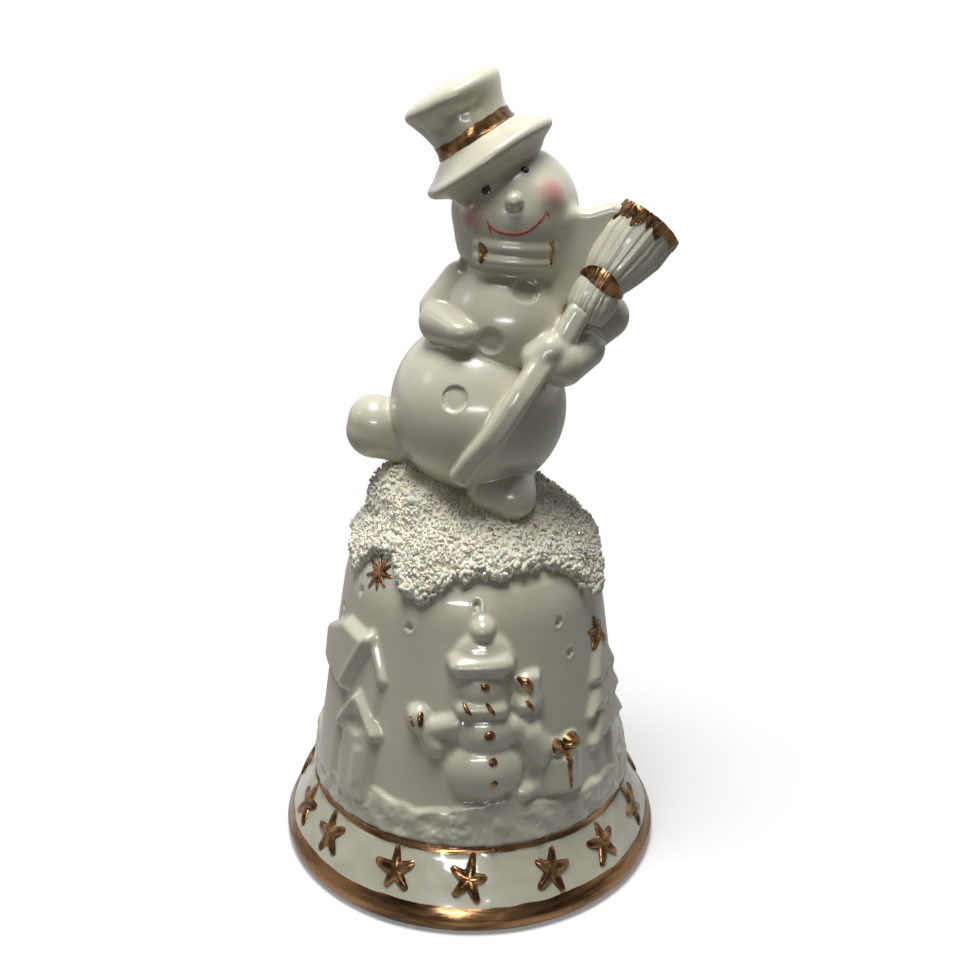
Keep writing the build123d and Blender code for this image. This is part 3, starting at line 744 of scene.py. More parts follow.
headCentre, headRadius = ballOf("head")
bellyCentre, bellyRadius = ballOf("belly")
chestCentre, chestRadius = np.array([5.54, 0.0, 107.8]), 12.4
figure = {
    "balls": [(bellyCentre, bellyRadius), (chestCentre, chestRadius), (headCentre, headRadius)],
    "waistSoft": 0.9,
    "collarCentre": (6.3, 0.0, 121.0),
    "collarLean": 4.0,
    "collarRadius": 9.7,
    "collarHalf": 3.0,
    "collarRound": 2.4,
    "foldRadius": 9.75,
    "foldThick": 1.35,
    "foldTurns": (-35.0, 36.0),
    "foldHeights": (-0.75, 1.6),
    # start, end, start radius, end radius, how softly it joins
    "rods": [
        ((-2.6, -0.6, 114.4), (-6.1, -1.6, 109.6), 4.0, 4.2, 0.6),  # left upper arm
        ((15.0, 0.0, 113.0), (23.0, -0.2, 108.6), 4.2, 4.0, 1.0),  # right sleeve
        ((23.6, -0.2, 108.4), (19.6, -2.6, 105.4), 4.2, 3.8, 1.0),
        ((19.2, -5.4, 103.9), (15.2, -9.2, 102.6), 4.0, 4.7, 0.6),  # hand on the broom
        ((13.0, -11.4, 105.2), (10.4, -11.8, 103.6), 2.9, 2.6, 0.8),
        ((-19.3, 0.0, 85.8), (-18.8, 0.0, 87.6), 4.9, 5.0, 1.2),  # left boot
        ((-18.2, 0.0, 85.2), (-14.4, 0.0, 83.0), 4.6, 3.6, 1.4),
        ((2.8, -9.8, 77.9), (6.8, -10.8, 77.3), 4.2, 4.6, 0.4),  # right boot
        ((2.6, -7.0, 80.0), (6.6, -8.2, 78.6), 4.0, 4.5, 1.4),
        ((6.4, -5.8, 79.6), (6.8, -7.4, 76.4), 4.4, 4.2, 1.2),
    ],
    "handRod": ((-5.9, -4.6, 108.2), (-2.7, -9.4, 108.0), 4.4, 3.3),
    "handTop": ((-4.0, -7.0, 111.3), (0.12, -0.26, 0.96)),  # a place on its flat top and the way that faces
    "handSoft": 0.5,
    "stick": [
        (-2.4, -14.4, 82.6), (-0.2, -15.6, 86.2), (2.9, -16.6, 90.2), (5.6, -16.6, 94.4), (8.0, -15.9, 98.4),
        (11.0, -13.0, 102.4), (13.8, -10.6, 105.0), (15.8, -9.9, 107.8), (17.8, -9.2, 111.4),
    ],
    "stickHalf": 2.1,
    "stickCorner": 1.35,
    "stickStep": 2.2,
    "web": [
        (13.0, 126.4), (16.4, 128.2), (19.3, 128.2), (23.0, 129.4),
        (26.0, 129.0), (25.0, 118.0), (18.0, 112.0), (8.0, 112.0),
    ],
    "webY": -5.2,
    "webHalf": 1.7,
    "buttons": [(1, 17.7, 37.2), (1, -14.6, -5.5), (0, -16.4, 21.1)],
    "buttonRadius": 2.35,
    "buttonDepth": 0.62,
    "cheeks": [((35.3, 23.5), 3.6, 0.75), ((-42.0, 1.5), 3.4, 0.5)],
    "nose": (-2.5, 17.6),
    "noseRadius": 1.5,
    "noseProud": 0.35,
    "pocketRadius": 5.2,
    "pocketTop": 78.2,
    "voxel": 0.42,
}


def turnTo(turns):
    azimuth, elevation = radians(turns[0]), radians(turns[1])
    return np.array([sin(azimuth) * cos(elevation), -cos(azimuth) * cos(elevation), sin(elevation)])


noseCentre = headCentre + turnTo(figure["nose"]) * (headRadius + figure["noseProud"])


def rodField(points, start, end, first, last):
    reach, along = toSegment(points, start, end)
    return reach - first - (last - first) * along


def drumField(reach, rise, radius, half, edge):
    ring, side = reach - radius + edge, np.abs(rise) - half + edge
    return np.hypot(np.maximum(ring, 0), np.maximum(side, 0)) + np.minimum(np.maximum(ring, side), 0) - edge


def collarField(points):
    lean = radians(figure["collarLean"])
    up = np.array([sin(lean), 0.0, cos(lean)])
    local = points - figure["collarCentre"]
    rise = local @ up
    flat = local - rise[:, None] * up
    reach = np.linalg.norm(flat, axis=1)
    core = drumField(reach, rise, figure["collarRadius"], figure["collarHalf"], figure["collarRound"])
    turn = np.degrees(np.arctan2(flat[:, 0], -flat[:, 1]))
    low, high = figure["foldTurns"]
    past = np.radians(np.maximum(np.maximum(low - turn, turn - high), 0)) * figure["foldRadius"]
    folds = [
        np.sqrt((reach - figure["foldRadius"]) ** 2 + (rise - level) ** 2 + past**2) - figure["foldThick"]
        for level in figure["foldHeights"]
    ]
    return core, softMin(folds[0], folds[1], 0.9)


def stickField(points):
    # a squared rod along a bent line
    field = np.full(len(points), np.inf)
    places = smoothLine(figure["stick"], figure["stickStep"])
    for start, end in zip(places, places[1:]):
        length = np.linalg.norm(end - start)
        axis = (end - start) / length
        side = np.cross(axis, (0.0, -1.0, 0.0))
        side /= np.linalg.norm(side)
        local = points - start
        along = local @ axis
        past = np.maximum(np.maximum(-along, along - length), 0)
        away = np.abs(np.stack([local @ side, local @ np.cross(side, axis)], axis=1))
        away = away - (figure["stickHalf"] - figure["stickCorner"])
        flat = np.linalg.norm(np.maximum(away, 0), axis=1) + np.minimum(away.max(axis=1), 0)
        reach = np.hypot(np.maximum(flat, 0), past) + np.minimum(flat, 0)
        field = np.minimum(field, reach - figure["stickCorner"])
    return field


def figureField(points):
    balls = [np.linalg.norm(points - centre, axis=1) - radius for centre, radius in figure["balls"]]
    field = softMin(balls[0], balls[1], figure["waistSoft"])
    collar, folds = collarField(points)
    nose = np.linalg.norm(points - noseCentre, axis=1) - figure["noseRadius"]
    field = softMin(softMin(field, collar, 1.6), balls[2], 2.2)
    field = softMin(softMin(field, folds, 0.7), nose, 0.25)
    for turns, radius, proud in figure["cheeks"]:
        middle = headCentre + turnTo(turns) * (headRadius + proud - radius)
        field = softMin(field, np.linalg.norm(points - middle, axis=1) - radius, 1.2)
    flat = points[:, [0, 2]]
    web = drumField(-inside(flat, figure["web"]), points[:, 1] - figure["webY"], 0.4, figure["webHalf"], 1.2)
    field = softMin(field, web, 2.0)
    for start, end, first, last, soft in figure["rods"]:
        field = softMin(field, rodField(points, start, end, first, last), soft)
    field = softMin(field, stickField(points), 0.6)
    top, faces = figure["handTop"]
    hand = softMax(rodField(points, *figure["handRod"]), (points - top) @ np.array(faces), 1.4)
    field = softMin(field, hand, figure["handSoft"])
    for number, *turns in figure["buttons"]:
        centre, radius = figure["balls"][number]
        out = turnTo(turns)
        local = points - centre
        along = local @ out
        side = np.linalg.norm(local - along[:, None] * out, axis=1) - figure["buttonRadius"]
        level = np.sqrt(np.maximum(radius**2 - (side + figure["buttonRadius"]) ** 2, 0))
        floor = level - figure["buttonDepth"] - along
        dent = softMax(side, np.where(along > 0, floor, 9.0), 0.5)
        field = softMax(field, -dent, 0.3)
    fromAxis = np.hypot(points[:, 0], points[:, 1]) - figure["pocketRadius"]
    return np.maximum(field, -np.maximum(fromAxis, points[:, 2] - figure["pocketTop"]))


def slopeOf(points, field, step=0.02):
    here = field(points)
    return here, np.stack([(field(points + step * axis) - here) / step for axis in np.eye(3)], axis=1)


def drawOnto(points, field, rounds=7, reach=0.6):
    # Newton steps that bring points onto the place where a field is nothing
    for _ in range(rounds):
        here, slope = slopeOf(points, field)
        move = -(here / np.maximum((slope**2).sum(axis=1), 0.15))[:, None] * slope
        length = np.linalg.norm(move, axis=1)
        points = points + move * np.minimum(1, reach / np.maximum(length, 1e-9))[:, None]
    return points


def clayBall(centre, radius):
    clearSelection()
    place = Vector(centre) * mm
    bpy.ops.mesh.primitive_uv_sphere_add(segments=40, ring_count=24, radius=radius * mm, location=place)
    settle(bpy.context.object)
    return bpy.context.object


def clayRod(start, end, first, last):
    # a ball whose two halves are drawn to the ends of a line
    start, end = Vector(start), Vector(end)
    clearSelection()
    bpy.ops.mesh.primitive_uv_sphere_add(segments=24, ring_count=16, radius=mm)
    rod = bpy.context.object
    points = readPoints(rod)
    upper = points[:, 2] > 1e-6
    points *= np.where(upper, last, first)[:, None]
    points[:, 2] += np.where(upper, (end - start).length, 0)
    turn = np.array((end - start).to_track_quat("Z", "Y").to_matrix())
    writePoints(rod, points @ turn.T + np.array(start))
    return rod


def clayDrum(centre, lean, radius, half):
    clearSelection()
    place = Vector(centre) * mm
    bpy.ops.mesh.primitive_cylinder_add(vertices=48, radius=radius * mm, depth=2 * half * mm, location=place)
    drum = bpy.context.object
    drum.rotation_euler = (0, radians(lean), 0)
    settle(drum)
    return drum


def clayBlock(corners, middle, half):
    # a flat outline in X and Z given a thickness
    clearSelection()
    bpy.ops.mesh.primitive_circle_add(vertices=len(corners), radius=mm, fill_type="NGON")
    block = bpy.context.object
    writePoints(block, np.array([(across, middle - half, height) for across, height in corners]))
    bpy.ops.object.mode_set(mode="EDIT")
    bpy.ops.mesh.select_all(action="SELECT")
    bpy.ops.mesh.extrude_region_move(TRANSFORM_OT_translate={"value": (0, 2 * half * mm, 0)})
    bpy.ops.object.mode_set(mode="OBJECT")
    outward(block)
    return block


def moulded(name, clay, field, voxel):
    # the clay pieces as one skin, drawn onto the field
    pickOnly(*clay)
    bpy.ops.object.join()
    obj = bpy.context.object
    obj.name = name
    addModifier(obj, "REMESH", mode="VOXEL", voxel_size=voxel * mm)
    writePoints(obj, drawOnto(readPoints(obj), field))
    return obj


def makeSnowman():
    clay = [clayBall(centre, radius) for centre, radius in figure["balls"]]
    clay += [clayRod(*rod[:4]) for rod in figure["rods"] + [figure["handRod"]]]
    places, half = figure["stick"], figure["stickHalf"]
    clay += [clayRod(start, end, half, half) for start, end in zip(places, places[1:])]
    lean = figure["collarLean"]
    clay.append(clayDrum(figure["collarCentre"], lean, figure["collarRadius"], figure["collarHalf"]))
    front = [
        np.array(figure["collarCentre"]) + figure["foldRadius"] * turnTo((turn, 0)) + np.array([0, 0, level])
        for level in figure["foldHeights"] for turn in np.linspace(*figure["foldTurns"], 6)
    ]
    clay += [clayBall(place, figure["foldThick"]) for place in front]
    clay.append(clayBall(noseCentre, figure["noseRadius"]))
    clay.append(clayBlock(figure["web"], figure["webY"], figure["webHalf"]))
    return moulded("snowmanFigure", clay, figureField, figure["voxel"])


snowmanFigure = makeSnowman()
print("snowman made:", len(snowmanFigure.data.polygons), "faces")


# Top hat, spun on its own axis and then leant over
hat = {
    "centre": (1.75, 0.0, 136.6),
    "lean": -33.0,
    "back": 5.0,  # how far its front is tipped up
    # radius and height of the section, from the inside of the brim to the crown's top
    "underBrim": [(0.0, -4.0), (8.0, -4.0), (9.0, -3.2), (9.9, -2.3), (11.2, -1.5), (12.0, -1.0)],
    "rim": [(12.35, -0.6), (12.5, -0.1), (12.4, 0.35), (12.0, 0.75)],
    "overBrim": [(11.2, 1.15), (10.0, 1.9), (8.9, 2.75), (8.1, 3.3), (7.6, 3.7)],
    "crown": [(7.25, 4.6), (7.2, 5.6), (7.4, 7.0), (7.8, 8.5), (8.35, 10.0), (8.85, 11.2), (9.05, 11.8)],
    "top": [(9.05, 12.4), (8.6, 13.0), (7.5, 13.6), (4.0, 14.3), (0.0, 14.5)],
    "topTilt": 0.075,  # how steeply the crown drops towards +X
    "steps": 160,
    "bandHeights": (3.6, 6.0),
    "bandThick": 0.16,
    # azimuth, height, depth and width of the soft dimples in the crown
    "dimples": [
        (-14, 9.4, 0.8, 1.8), (6, 9.0, 0.6, 1.5), (-34, 8.4, 0.7, 1.7),
        (24, 8.6, 0.5, 1.6), (-60, 9.6, 0.5, 2.0),
    ],
}


def hatShape(points):
    # dimples in the crown and a hand-made waver, then the lean and the place
    radius = np.hypot(points[:, 0], points[:, 1])
    turn = azimuthOf(points)
    out = 0.10 * lumps(points, 7.0, 3.0) + 0.05 * lumps(points, 3.5, 4.0)
    for azimuth, height, depth, width in hat["dimples"]:
        off = np.hypot(np.radians(turn - azimuth) * 8.0, points[:, 2] - height)
        out -= depth * np.exp(-((off / width) ** 2) * 1.4) * (radius > 7.0)
    grow = 1 + out / np.maximum(radius, 1.0)
    points = points * np.stack([grow, grow, np.ones(len(points))], axis=1)
    points[:, 2] -= ease((points[:, 2] - 5.0) / 6.0) * (hat["topTilt"] * points[:, 0] + 0.2)
    brim = ease((radius - 8.0) / 4.0) * (points[:, 2] < 3.6)
    points[:, 2] += brim * (0.25 * np.sin(np.radians(2 * turn + 40)) + 0.15 * np.sin(np.radians(3 * turn)))
    lean = Matrix.Rotation(radians(hat["lean"]), 3, "Y") @ Matrix.Rotation(radians(-hat["back"]), 3, "X")
    return points @ np.array(lean).T + np.array(hat["centre"])


def makeHat():
    section = hat["underBrim"][1:] + hat["rim"] + hat["overBrim"] + hat["crown"] + hat["top"][:-1]
    line = [hat["underBrim"][0]] + [tuple(point) for point in smoothLine(section, 0.4)] + [hat["top"][-1]]
    obj = spun("topHat", [(max(radius, 0.0), height) for radius, height in line], hat["steps"])
    writePoints(obj, hatShape(readPoints(obj)))
    outward(obj)
    return obj


def makeHatBand():
    side = smoothLine(hat["overBrim"][-2:] + hat["crown"], 0.25)
    low, high = hat["bandHeights"]
    wall = side[(side[:, 1] > low) & (side[:, 1] < high)]
    outer = [(radius + hat["bandThick"], height) for radius, height in wall]
    inner = [(radius - 0.3, height) for radius, height in wall[::-1]]
    obj = spun("hatBand", outer + inner, hat["steps"])
    points = readPoints(obj)
    turn = np.arctan2(points[:, 0], -points[:, 1])
    waver = 0.16 * np.sin(3 * turn) + 0.12 * np.sin(7 * turn + 1)
    points[:, 2] += waver + 0.12 * lumps(points * [1, 1, 0.1], 1.6, 6.0)
    writePoints(obj, hatShape(points))
    return obj


topHat = makeHat()
hatBand = makeHatBand()
print("hat made:", len(topHat.data.polygons), "faces")


# Broom: strands drawn along a bent fan, gold round its neck and on its tip
broom = {
    # middle of the fan, half width and half depth, from the neck to the tip
    "spine": [
        (19.0, -8.6, 109.4), (19.9, -8.3, 112.2), (21.4, -7.8, 115.4),
        (23.9, -7.0, 119.0), (27.1, -6.1, 122.8), (30.7, -5.3, 127.3),
    ],
    "half": [3.0, 4.2, 4.3, 5.2, 6.2, 5.9],
    "depth": [2.2, 3.0, 3.3, 3.7, 4.0, 3.8],
    "bend": 0.75,  # how far the sides of the tip hang back
    "around": 132,
    "along": 60,
    "tieSpan": (0.38, 0.52),
    "tipSpan": 0.94,
    "filmThick": 0.14,
}


def spineAt(share):
    marks = np.linspace(0, 1, len(broom["spine"]))
    return np.stack([np.interp(share, marks, column) for column in np.array(broom["spine"]).T], axis=1)


def broomPoint(share, turn, lift=0.0):
    # a place on the fan: share runs from neck to tip, turn goes round it
    marks = np.linspace(0, 1, len(broom["spine"]))
    ahead = np.minimum(share + 0.05, 1.0)
    up = unit(spineAt(ahead) - spineAt(ahead - 0.1))
    side = -unit(np.cross(up, (0.0, -1.0, 0.0)))
    back = np.cross(side, up)
    half = np.interp(share, marks, broom["half"])
    depth = np.interp(share, marks, broom["depth"])
    strand = 0.4 * np.sin(11 * turn + 3 * share) + 0.4 * np.sin(23 * turn - 5 * share + 1)
    strand += 0.3 * np.sin(37 * turn + 2)
    pinch = np.exp(-(((share - 0.45) / 0.08) ** 2))
    out = lift + 0.17 * strand * (1 - 0.6 * pinch) * ease(share / 0.06)
    pull = -0.5 * pinch
    across = (half + pull + out) * np.sin(turn)
    deep = (depth + pull + out) * np.cos(turn)
    hang = -broom["bend"] * (across / 6.0) ** 2 * ease((share - 0.6) / 0.4)
    return spineAt(share) + across[:, None] * side - deep[:, None] * back + hang[:, None] * up


def tipPoint(share, turn, lift=0.0):
    # from the fan's side over the edge of its tip and in to the middle; share above 1 lies on the end
    side = broomPoint(np.minimum(share, 1.0), turn, lift)
    core = np.array(broom["spine"][-1])
    cap = np.clip(share - 1.0, 0, 1)[:, None]
    flat = side * (1 - cap) + core * cap
    rough = 0.14 * lumps(flat, 1.1, 9.0) - 0.5 * ease(cap[:, 0] / 0.3)
    up = np.subtract(broom["spine"][-1], broom["spine"][-2])
    up = up / np.linalg.norm(up)
    return flat + (rough + lift)[:, None] * up * (cap > 0)


def makeBristles():
    obj, around, along = gridPiece("broomBristles", broom["around"], broom["along"])
    share = np.where(along < 0.8, along / 0.8, 1 + (along - 0.8) / 0.2)
    shape = tipPoint(share, around * tau)
    shape[along < 1e-6] = broom["spine"][0]  # the neck closes to a point inside the handle
    return wrapped(obj, shape)


def makeTip():
    obj, around, along = gridPiece("broomTipGilding", broom["around"], 26)
    turn = around * tau
    jag = 0.018 * np.sin(9 * turn) + 0.016 * np.sin(17 * turn + 2) + 0.012 * np.sin(29 * turn)
    start = broom["tipSpan"] + jag - 0.02 - 0.03 * np.sin(turn)
    share = start + (2.0 - start) * along
    return wrapped(obj, tipPoint(share, turn, broom["filmThick"]))


def makeTie():
    obj, around, along = gridPiece("broomTie", broom["around"], 10)
    turn = around * tau
    low, high = broom["tieSpan"]
    front = np.cos(turn)
    width = 0.35 + 0.65 * np.clip(front * np.cos(turn - 0.3), -0.1, 1)
    middle = (low + high) / 2 + 0.02 * np.sin(2 * turn + 0.6)
    share = middle + (along - 0.5) * (high - low) * width
    puff = broom["filmThick"] + 0.25 * np.sin(pi * along)
    return wrapped(obj, broomPoint(share, turn, puff))


broomBristles = makeBristles()
broomTip = makeTip()
broomTie = makeTie()
print("broom made")


# Face and scarf marks, drawn onto the figure's surface
faceMarks = {
    "eyes": [((-31.1, 25.7), 0.85), ((9.9, 46.5), 0.8)],
    "mouth": [
        (-25.9, -0.6), (-22.8, -4.6), (-17.3, -8.3), (-8.4, -10.5), (0.4, -10.9),
        (10.6, -7.6), (18.7, -1.4), (23.9, 4.0), (26.6, 8.6),
    ],
    "mouthWidth": [0.15, 0.28, 0.33, 0.38, 0.38, 0.34, 0.28, 0.24, 0.12],
    "leftTick": [(-26.0, 0.9), (-23.8, -6.7), (-22.6, -13.5)],
    "rightTick": [(26.4, 9.4), (28.2, 6.0), (30.0, 3.4)],
    "tickWidth": [0.14, 0.2, 0.08],
    "haloRadius": 1.35,
    "lift": 0.07,
}
scarfMarks = [
    # places in millimetres, then half widths
    (
        [(0.5, -9.0, 123.4), (1.1, -9.3, 122.2), (0.9, -9.4, 120.9), (0.5, -9.2, 119.5)],
        [0.35, 0.95, 0.6, 0.12],
    ),
    (
        [(12.7, -8.6, 123.9), (12.8, -8.6, 122.8), (12.8, -8.8, 121.2), (12.8, -9.0, 119.6)],
        [0.7, 0.4, 0.36, 0.42],
    ),
]


def onHead(turns):
    return headCentre + turnTo(turns) * headRadius


def strokeOnFigure(name, line, width, lift, rows=40):
    obj, along, across = gridPiece(name, rows, 6)
    middle, flow = alongLine(line, 0.15, along, 0.04)
    side = unit(np.cross(flow, slopeOf(middle, figureField)[1]))
    share = (across - 0.5) * 2
    points = drawOnto(middle + side * (share * strokeWidth(along, width, 8))[:, None], figureField)
    out = unit(slopeOf(points, figureField)[1])
    points = points + out * (0.03 + lift * np.clip(1 - share**2, 0, 1))[:, None]
    return solidFilm(wrapped(obj, points), 0.12)


def discOnFigure(name, centre, radius, lift):
    obj, out, way = discPiece(name, 36, 6)
    normal = slopeOf(np.array([centre]), figureField)[1][0]
    normal /= np.linalg.norm(normal)
    across = np.cross((0.0, 0.0, 1.0), normal)
    across /= np.linalg.norm(across)
    up = np.cross(normal, across)
    points = centre + radius * (out * np.sin(way))[:, None] * across
    points = drawOnto(points + radius * (out * np.cos(way))[:, None] * up, figureField)
    points = points + normal * (0.03 + lift * np.clip(1 - out**2, 0, 1))[:, None]
    writePoints(obj, points)
    return solidFilm(obj, 0.12)


def makeFace():
    lift = faceMarks["lift"]
    eyes = [discOnFigure("eye", onHead(turns), radius, 0.25) for turns, radius in faceMarks["eyes"]]
    halo = [discOnFigure("eyeRing", onHead(faceMarks["eyes"][1][0]), faceMarks["haloRadius"], 0.05)]
    mouth = []
    marks = [("mouth", "mouthWidth", 70), ("leftTick", "tickWidth", 16), ("rightTick", "tickWidth", 16)]
    for mark, width, rows in marks:
        line = [onHead(turns) for turns in faceMarks[mark]]
        mouth.append(strokeOnFigure(mark, line, faceMarks[width], lift, rows))
    scarf = [strokeOnFigure("scarfMark", line, width, 0.15) for line, width in scarfMarks]
    return joined("eyes", eyes), joined("eyeHalo", halo), joined("mouth", mouth), joined("scarfTrim", scarf)


eyes, eyeHalo, mouth, scarfTrim = makeFace()
print("face drawn")


# Snow on the crown: a lumpy bed, then chopped grit and glitter scattered over it
snow = {
    "thick": 1.5,
    # azimuth and height of the bed's lower edge, all the way round
    "edge": [
        (-180, 63), (-160, 60), (-140, 64), (-120, 61), (-100, 63), (-84, 64.5), (-66, 61.5),
        (-57, 65.5), (-44, 66.0), (-34, 63.0), (-26, 60.8), (-17, 62.4), (-8, 65.0), (2, 65.4),
        (12, 65.2), (17, 65.0), (26, 65.8), (40, 65.4), (50, 63.0), (58, 59.2), (66, 56.8),
        (76, 60.0), (92, 63), (110, 61), (130, 64), (155, 61), (180, 63),
    ],
    # middles and sizes of the heaps beside the figure
    "mounds": [
        (-11.6, 0.0, 71.8, 8.4), (-8.5, -6.0, 70.2, 8.0), (7.0, 0.5, 70.4, 8.2),
        (-1.0, 7.0, 69.5, 8.6), (3.6, -6.4, 69.0, 8.0),
    ],
    "columns": 300,
    "grains": 9200,
    "grainLength": (0.9, 2.1),
    "grainWidth": (0.24, 0.42),
    "glitter": 2400,
    "flakeRadius": (0.10, 0.25),
    "flakeHalf": 0.015,
    "seed": 7,
}


def edgeHeight(azimuth):
    line = smoothLine(snow["edge"], 1.5)
    turn = np.radians(azimuth)
    ragged = 0.35 * np.sin(23 * turn) + 0.25 * np.sin(41 * turn + 1)
    return np.interp(azimuth, line[:, 0], line[:, 1]) + ragged


def bedPoint(azimuth, height):
    # a place on the bed, which stands out of the crown and heaps up beside the figure
    radius, across, rise = outsideAt(height)
    depth = np.clip((height - edgeHeight(azimuth)) / 1.1, -1, 1)
    flat = onRing(radius, azimuth, height)
    rough = 0.55 * lumps(flat, 3.2, 31.0) + 0.4 * lumps(flat, 1.3, 33.0)
    out = np.where(depth > 0, (snow["thick"] + rough) * np.sqrt(ease(depth)), -0.5)
    way = onRing(across, azimuth, rise)
    for *middle, size in snow["mounds"]:
        toMiddle = np.array(middle) - flat
        ahead = (toMiddle * way).sum(axis=1)
        room = size**2 - (toMiddle**2).sum(axis=1) + ahead**2
        beyond = np.where(room > 0, ahead + np.sqrt(np.maximum(room, 0)), -2.0) + 0.8 * rough
        out = np.where(depth > 0, softMax(out, beyond, 0.6), out)
    return onRing(radius + across * out, azimuth, height + rise * out)


def bedSpots(count, chance):
    # places spread over the crown under the bed, so that the heaps' steep sides get fewer
    azimuth = chance.uniform(-180, 180, count * 4)
    height = 55.5 + 19.9 * chance.uniform(0, 1, count * 4) ** 0.9
    keep = height > edgeHeight(azimuth) + 0.15
    keep &= chance.uniform(0, 1, len(azimuth)) < outsideAt(height)[0] / 26
    return azimuth[keep][:count], height[keep][:count]


def makeBed():
    low = outsideLine[outsideLine[:, 1] > 54.5]
    inner = [(radius - 0.6, height - 0.3) for radius, height in low[::-2]]
    obj = spun("snowBed", [tuple(point) for point in low] + inner, snow["columns"])
    points = readPoints(obj)
    radius = np.hypot(points[:, 0], points[:, 1])
    outer = np.abs(np.interp(points[:, 2], low[:, 1], low[:, 0]) - radius) < 0.02
    points[outer] = bedPoint(azimuthOf(points[outer]), points[outer, 2])
    writePoints(obj, points)
    return obj


def scattered(name, places, turns, sizes):
    # the picked piece, copied to every place with its own turn and size
    obj = bpy.context.object
    obj.name = name
    shape = readPoints(obj)
    faces = [list(face.vertices) for face in obj.data.polygons]
    every = np.einsum("nij,nkj->nki", turns, shape[None] * sizes[:, None, :]) + places[:, None, :]
    mesh = bpy.data.meshes.new(name)
    firsts = range(0, len(places) * len(shape), len(shape))
    lists = [[corner + first for corner in face] for first in firsts for face in faces]
    mesh.from_pydata((every.reshape(-1, 3) * mm).tolist(), [], lists)
    old, obj.data = obj.data, mesh
    bpy.data.meshes.remove(old)
    return obj


def randomTurns(normals, spread, chance):
    # each grain's long axis lies near the surface and points anywhere along it
    axis = chance.standard_normal(normals.shape)
    axis = unit(axis - (axis * normals).sum(axis=1)[:, None] * normals * (1 - spread))
    side = unit(np.cross(axis, normals + 0.01))
    return np.stack([side, np.cross(axis, side), axis], axis=2)


def surfaceWay(azimuth, height):
    here = bedPoint(azimuth, height)
    along = bedPoint(azimuth + 0.6, height) - here
    up = bedPoint(azimuth, np.minimum(height + 0.25, 75.45)) - here
    way = np.cross(along, up)
    return here, way / np.maximum(np.linalg.norm(way, axis=1), 1e-9)[:, None]


def makeGrit():
    chance = np.random.default_rng(snow["seed"])
    azimuth, height = bedSpots(snow["grains"], chance)
    places, ways = surfaceWay(azimuth, height)
    low = 1 - ease((height - edgeHeight(azimuth)) / 7.0)  # the grit is coarser near the edge
    length = chance.uniform(*snow["grainLength"], len(azimuth)) * (0.6 + 0.5 * low) / 2
    width = chance.uniform(*snow["grainWidth"], len(azimuth)) * (0.8 + 0.5 * low)
    places = places + ways * chance.uniform(-0.1, 0.5, len(azimuth))[:, None]
    clearSelection()
    bpy.ops.mesh.primitive_ico_sphere_add(subdivisions=1, radius=mm)
    sizes = np.stack([width, width, length], axis=1)
    grit = scattered("snowGrit", places, randomTurns(ways, 0.35, chance), sizes)
    azimuth, height = bedSpots(snow["glitter"], chance)
    places, ways = surfaceWay(azimuth, height)
    places = places + ways * chance.uniform(0.35, 0.85, len(azimuth))[:, None]
    size = chance.uniform(*snow["flakeRadius"], len(azimuth))
    flakes = np.stack([size, size, np.full(len(size), snow["flakeHalf"])], axis=1)
    turns = randomTurns(ways, 1.0, chance)
    clearSelection()
    bpy.ops.mesh.primitive_cylinder_add(vertices=6, radius=mm, depth=2 * mm)
    return grit, scattered("snowGlitter", places, turns, flakes)


snowBed = makeBed()
snowGrit, snowGlitter = makeGrit()
print("snow made:", len(snowGrit.data.polygons), "faces of grit")


# Finishes
def porcelain(name, roughness=0.3, glaze=0.14, blushes=()):
    # a satin body below a thin clear glaze; a blush is the middle, size and depth of a pink cheek
    material, tree, place = startMaterial(name)
    base = grain(place, 90.0, 3.0).step(0.3, 0.7).mix(colour(0.66, 0.635, 0.485), colour(0.70, 0.675, 0.53))
    for middle, size, depth in blushes:
        ends = {0: place, 1: Vector(middle) * mm}
        away = place.node("ShaderNodeVectorMath", {"operation": "DISTANCE"}, ends, 1)
        blush = (1.0 - away.step(size * 0.15 * mm, size * mm)) * depth
        base = blush.mix(base, colour(0.62, 0.27, 0.235))
    gloss = grain(place, 260.0, 2.0).step(0.3, 0.7) * 0.08 + roughness
    normal = bump(grain(place, 1600.0, 2.0), 0.02 * mm)
    sockets = {"Base Color": base, "Roughness": gloss, "IOR": 1.5, "Normal": normal}
    finishMaterial(tree, {**sockets, "Coat Weight": 0.6, "Coat Roughness": glaze})
    return material


def goldLustre(name, ringed=0.0):
    # brushed on thin: brown to bronze; ringed draws the strokes round the bell
    material, tree, place = startMaterial(name)
    flow, ripple = place, 0.05
    if ringed:
        across, deep, up = axes(place)
        flat = place.node("ShaderNodeCombineXYZ", None, {"X": across, "Y": deep, "Z": 0.0})
        flat = place.node("ShaderNodeVectorMath", {"operation": "NORMALIZE"}, {0: flat})
        flat = place.node("ShaderNodeVectorMath", {"operation": "SCALE"}, {0: flat, "Scale": ringed * mm})
        level = place.node("ShaderNodeCombineXYZ", None, {"X": 0.0, "Y": 0.0, "Z": up})
        flow = place.node("ShaderNodeVectorMath", {"operation": "ADD"}, {0: flat, 1: level})
        ripple = 0.09
    full = grain(flow, 420.0, 3.0, 0.55).step(0.36, 0.66)
    streak = grain(flow, 1500.0, 3.0, 0.6)
    base = full.mix(colour(0.075, 0.038, 0.018), colour(0.31, 0.172, 0.078))
    gloss = streak.step(0.3, 0.7) * 0.14 + 0.16
    normal = bump(streak * 0.35 + grain(flow, 420.0, 2.0), ripple * mm)
    finishMaterial(tree, {"Base Color": base, "Roughness": gloss, "Metallic": 1.0, "Normal": normal})
    return material


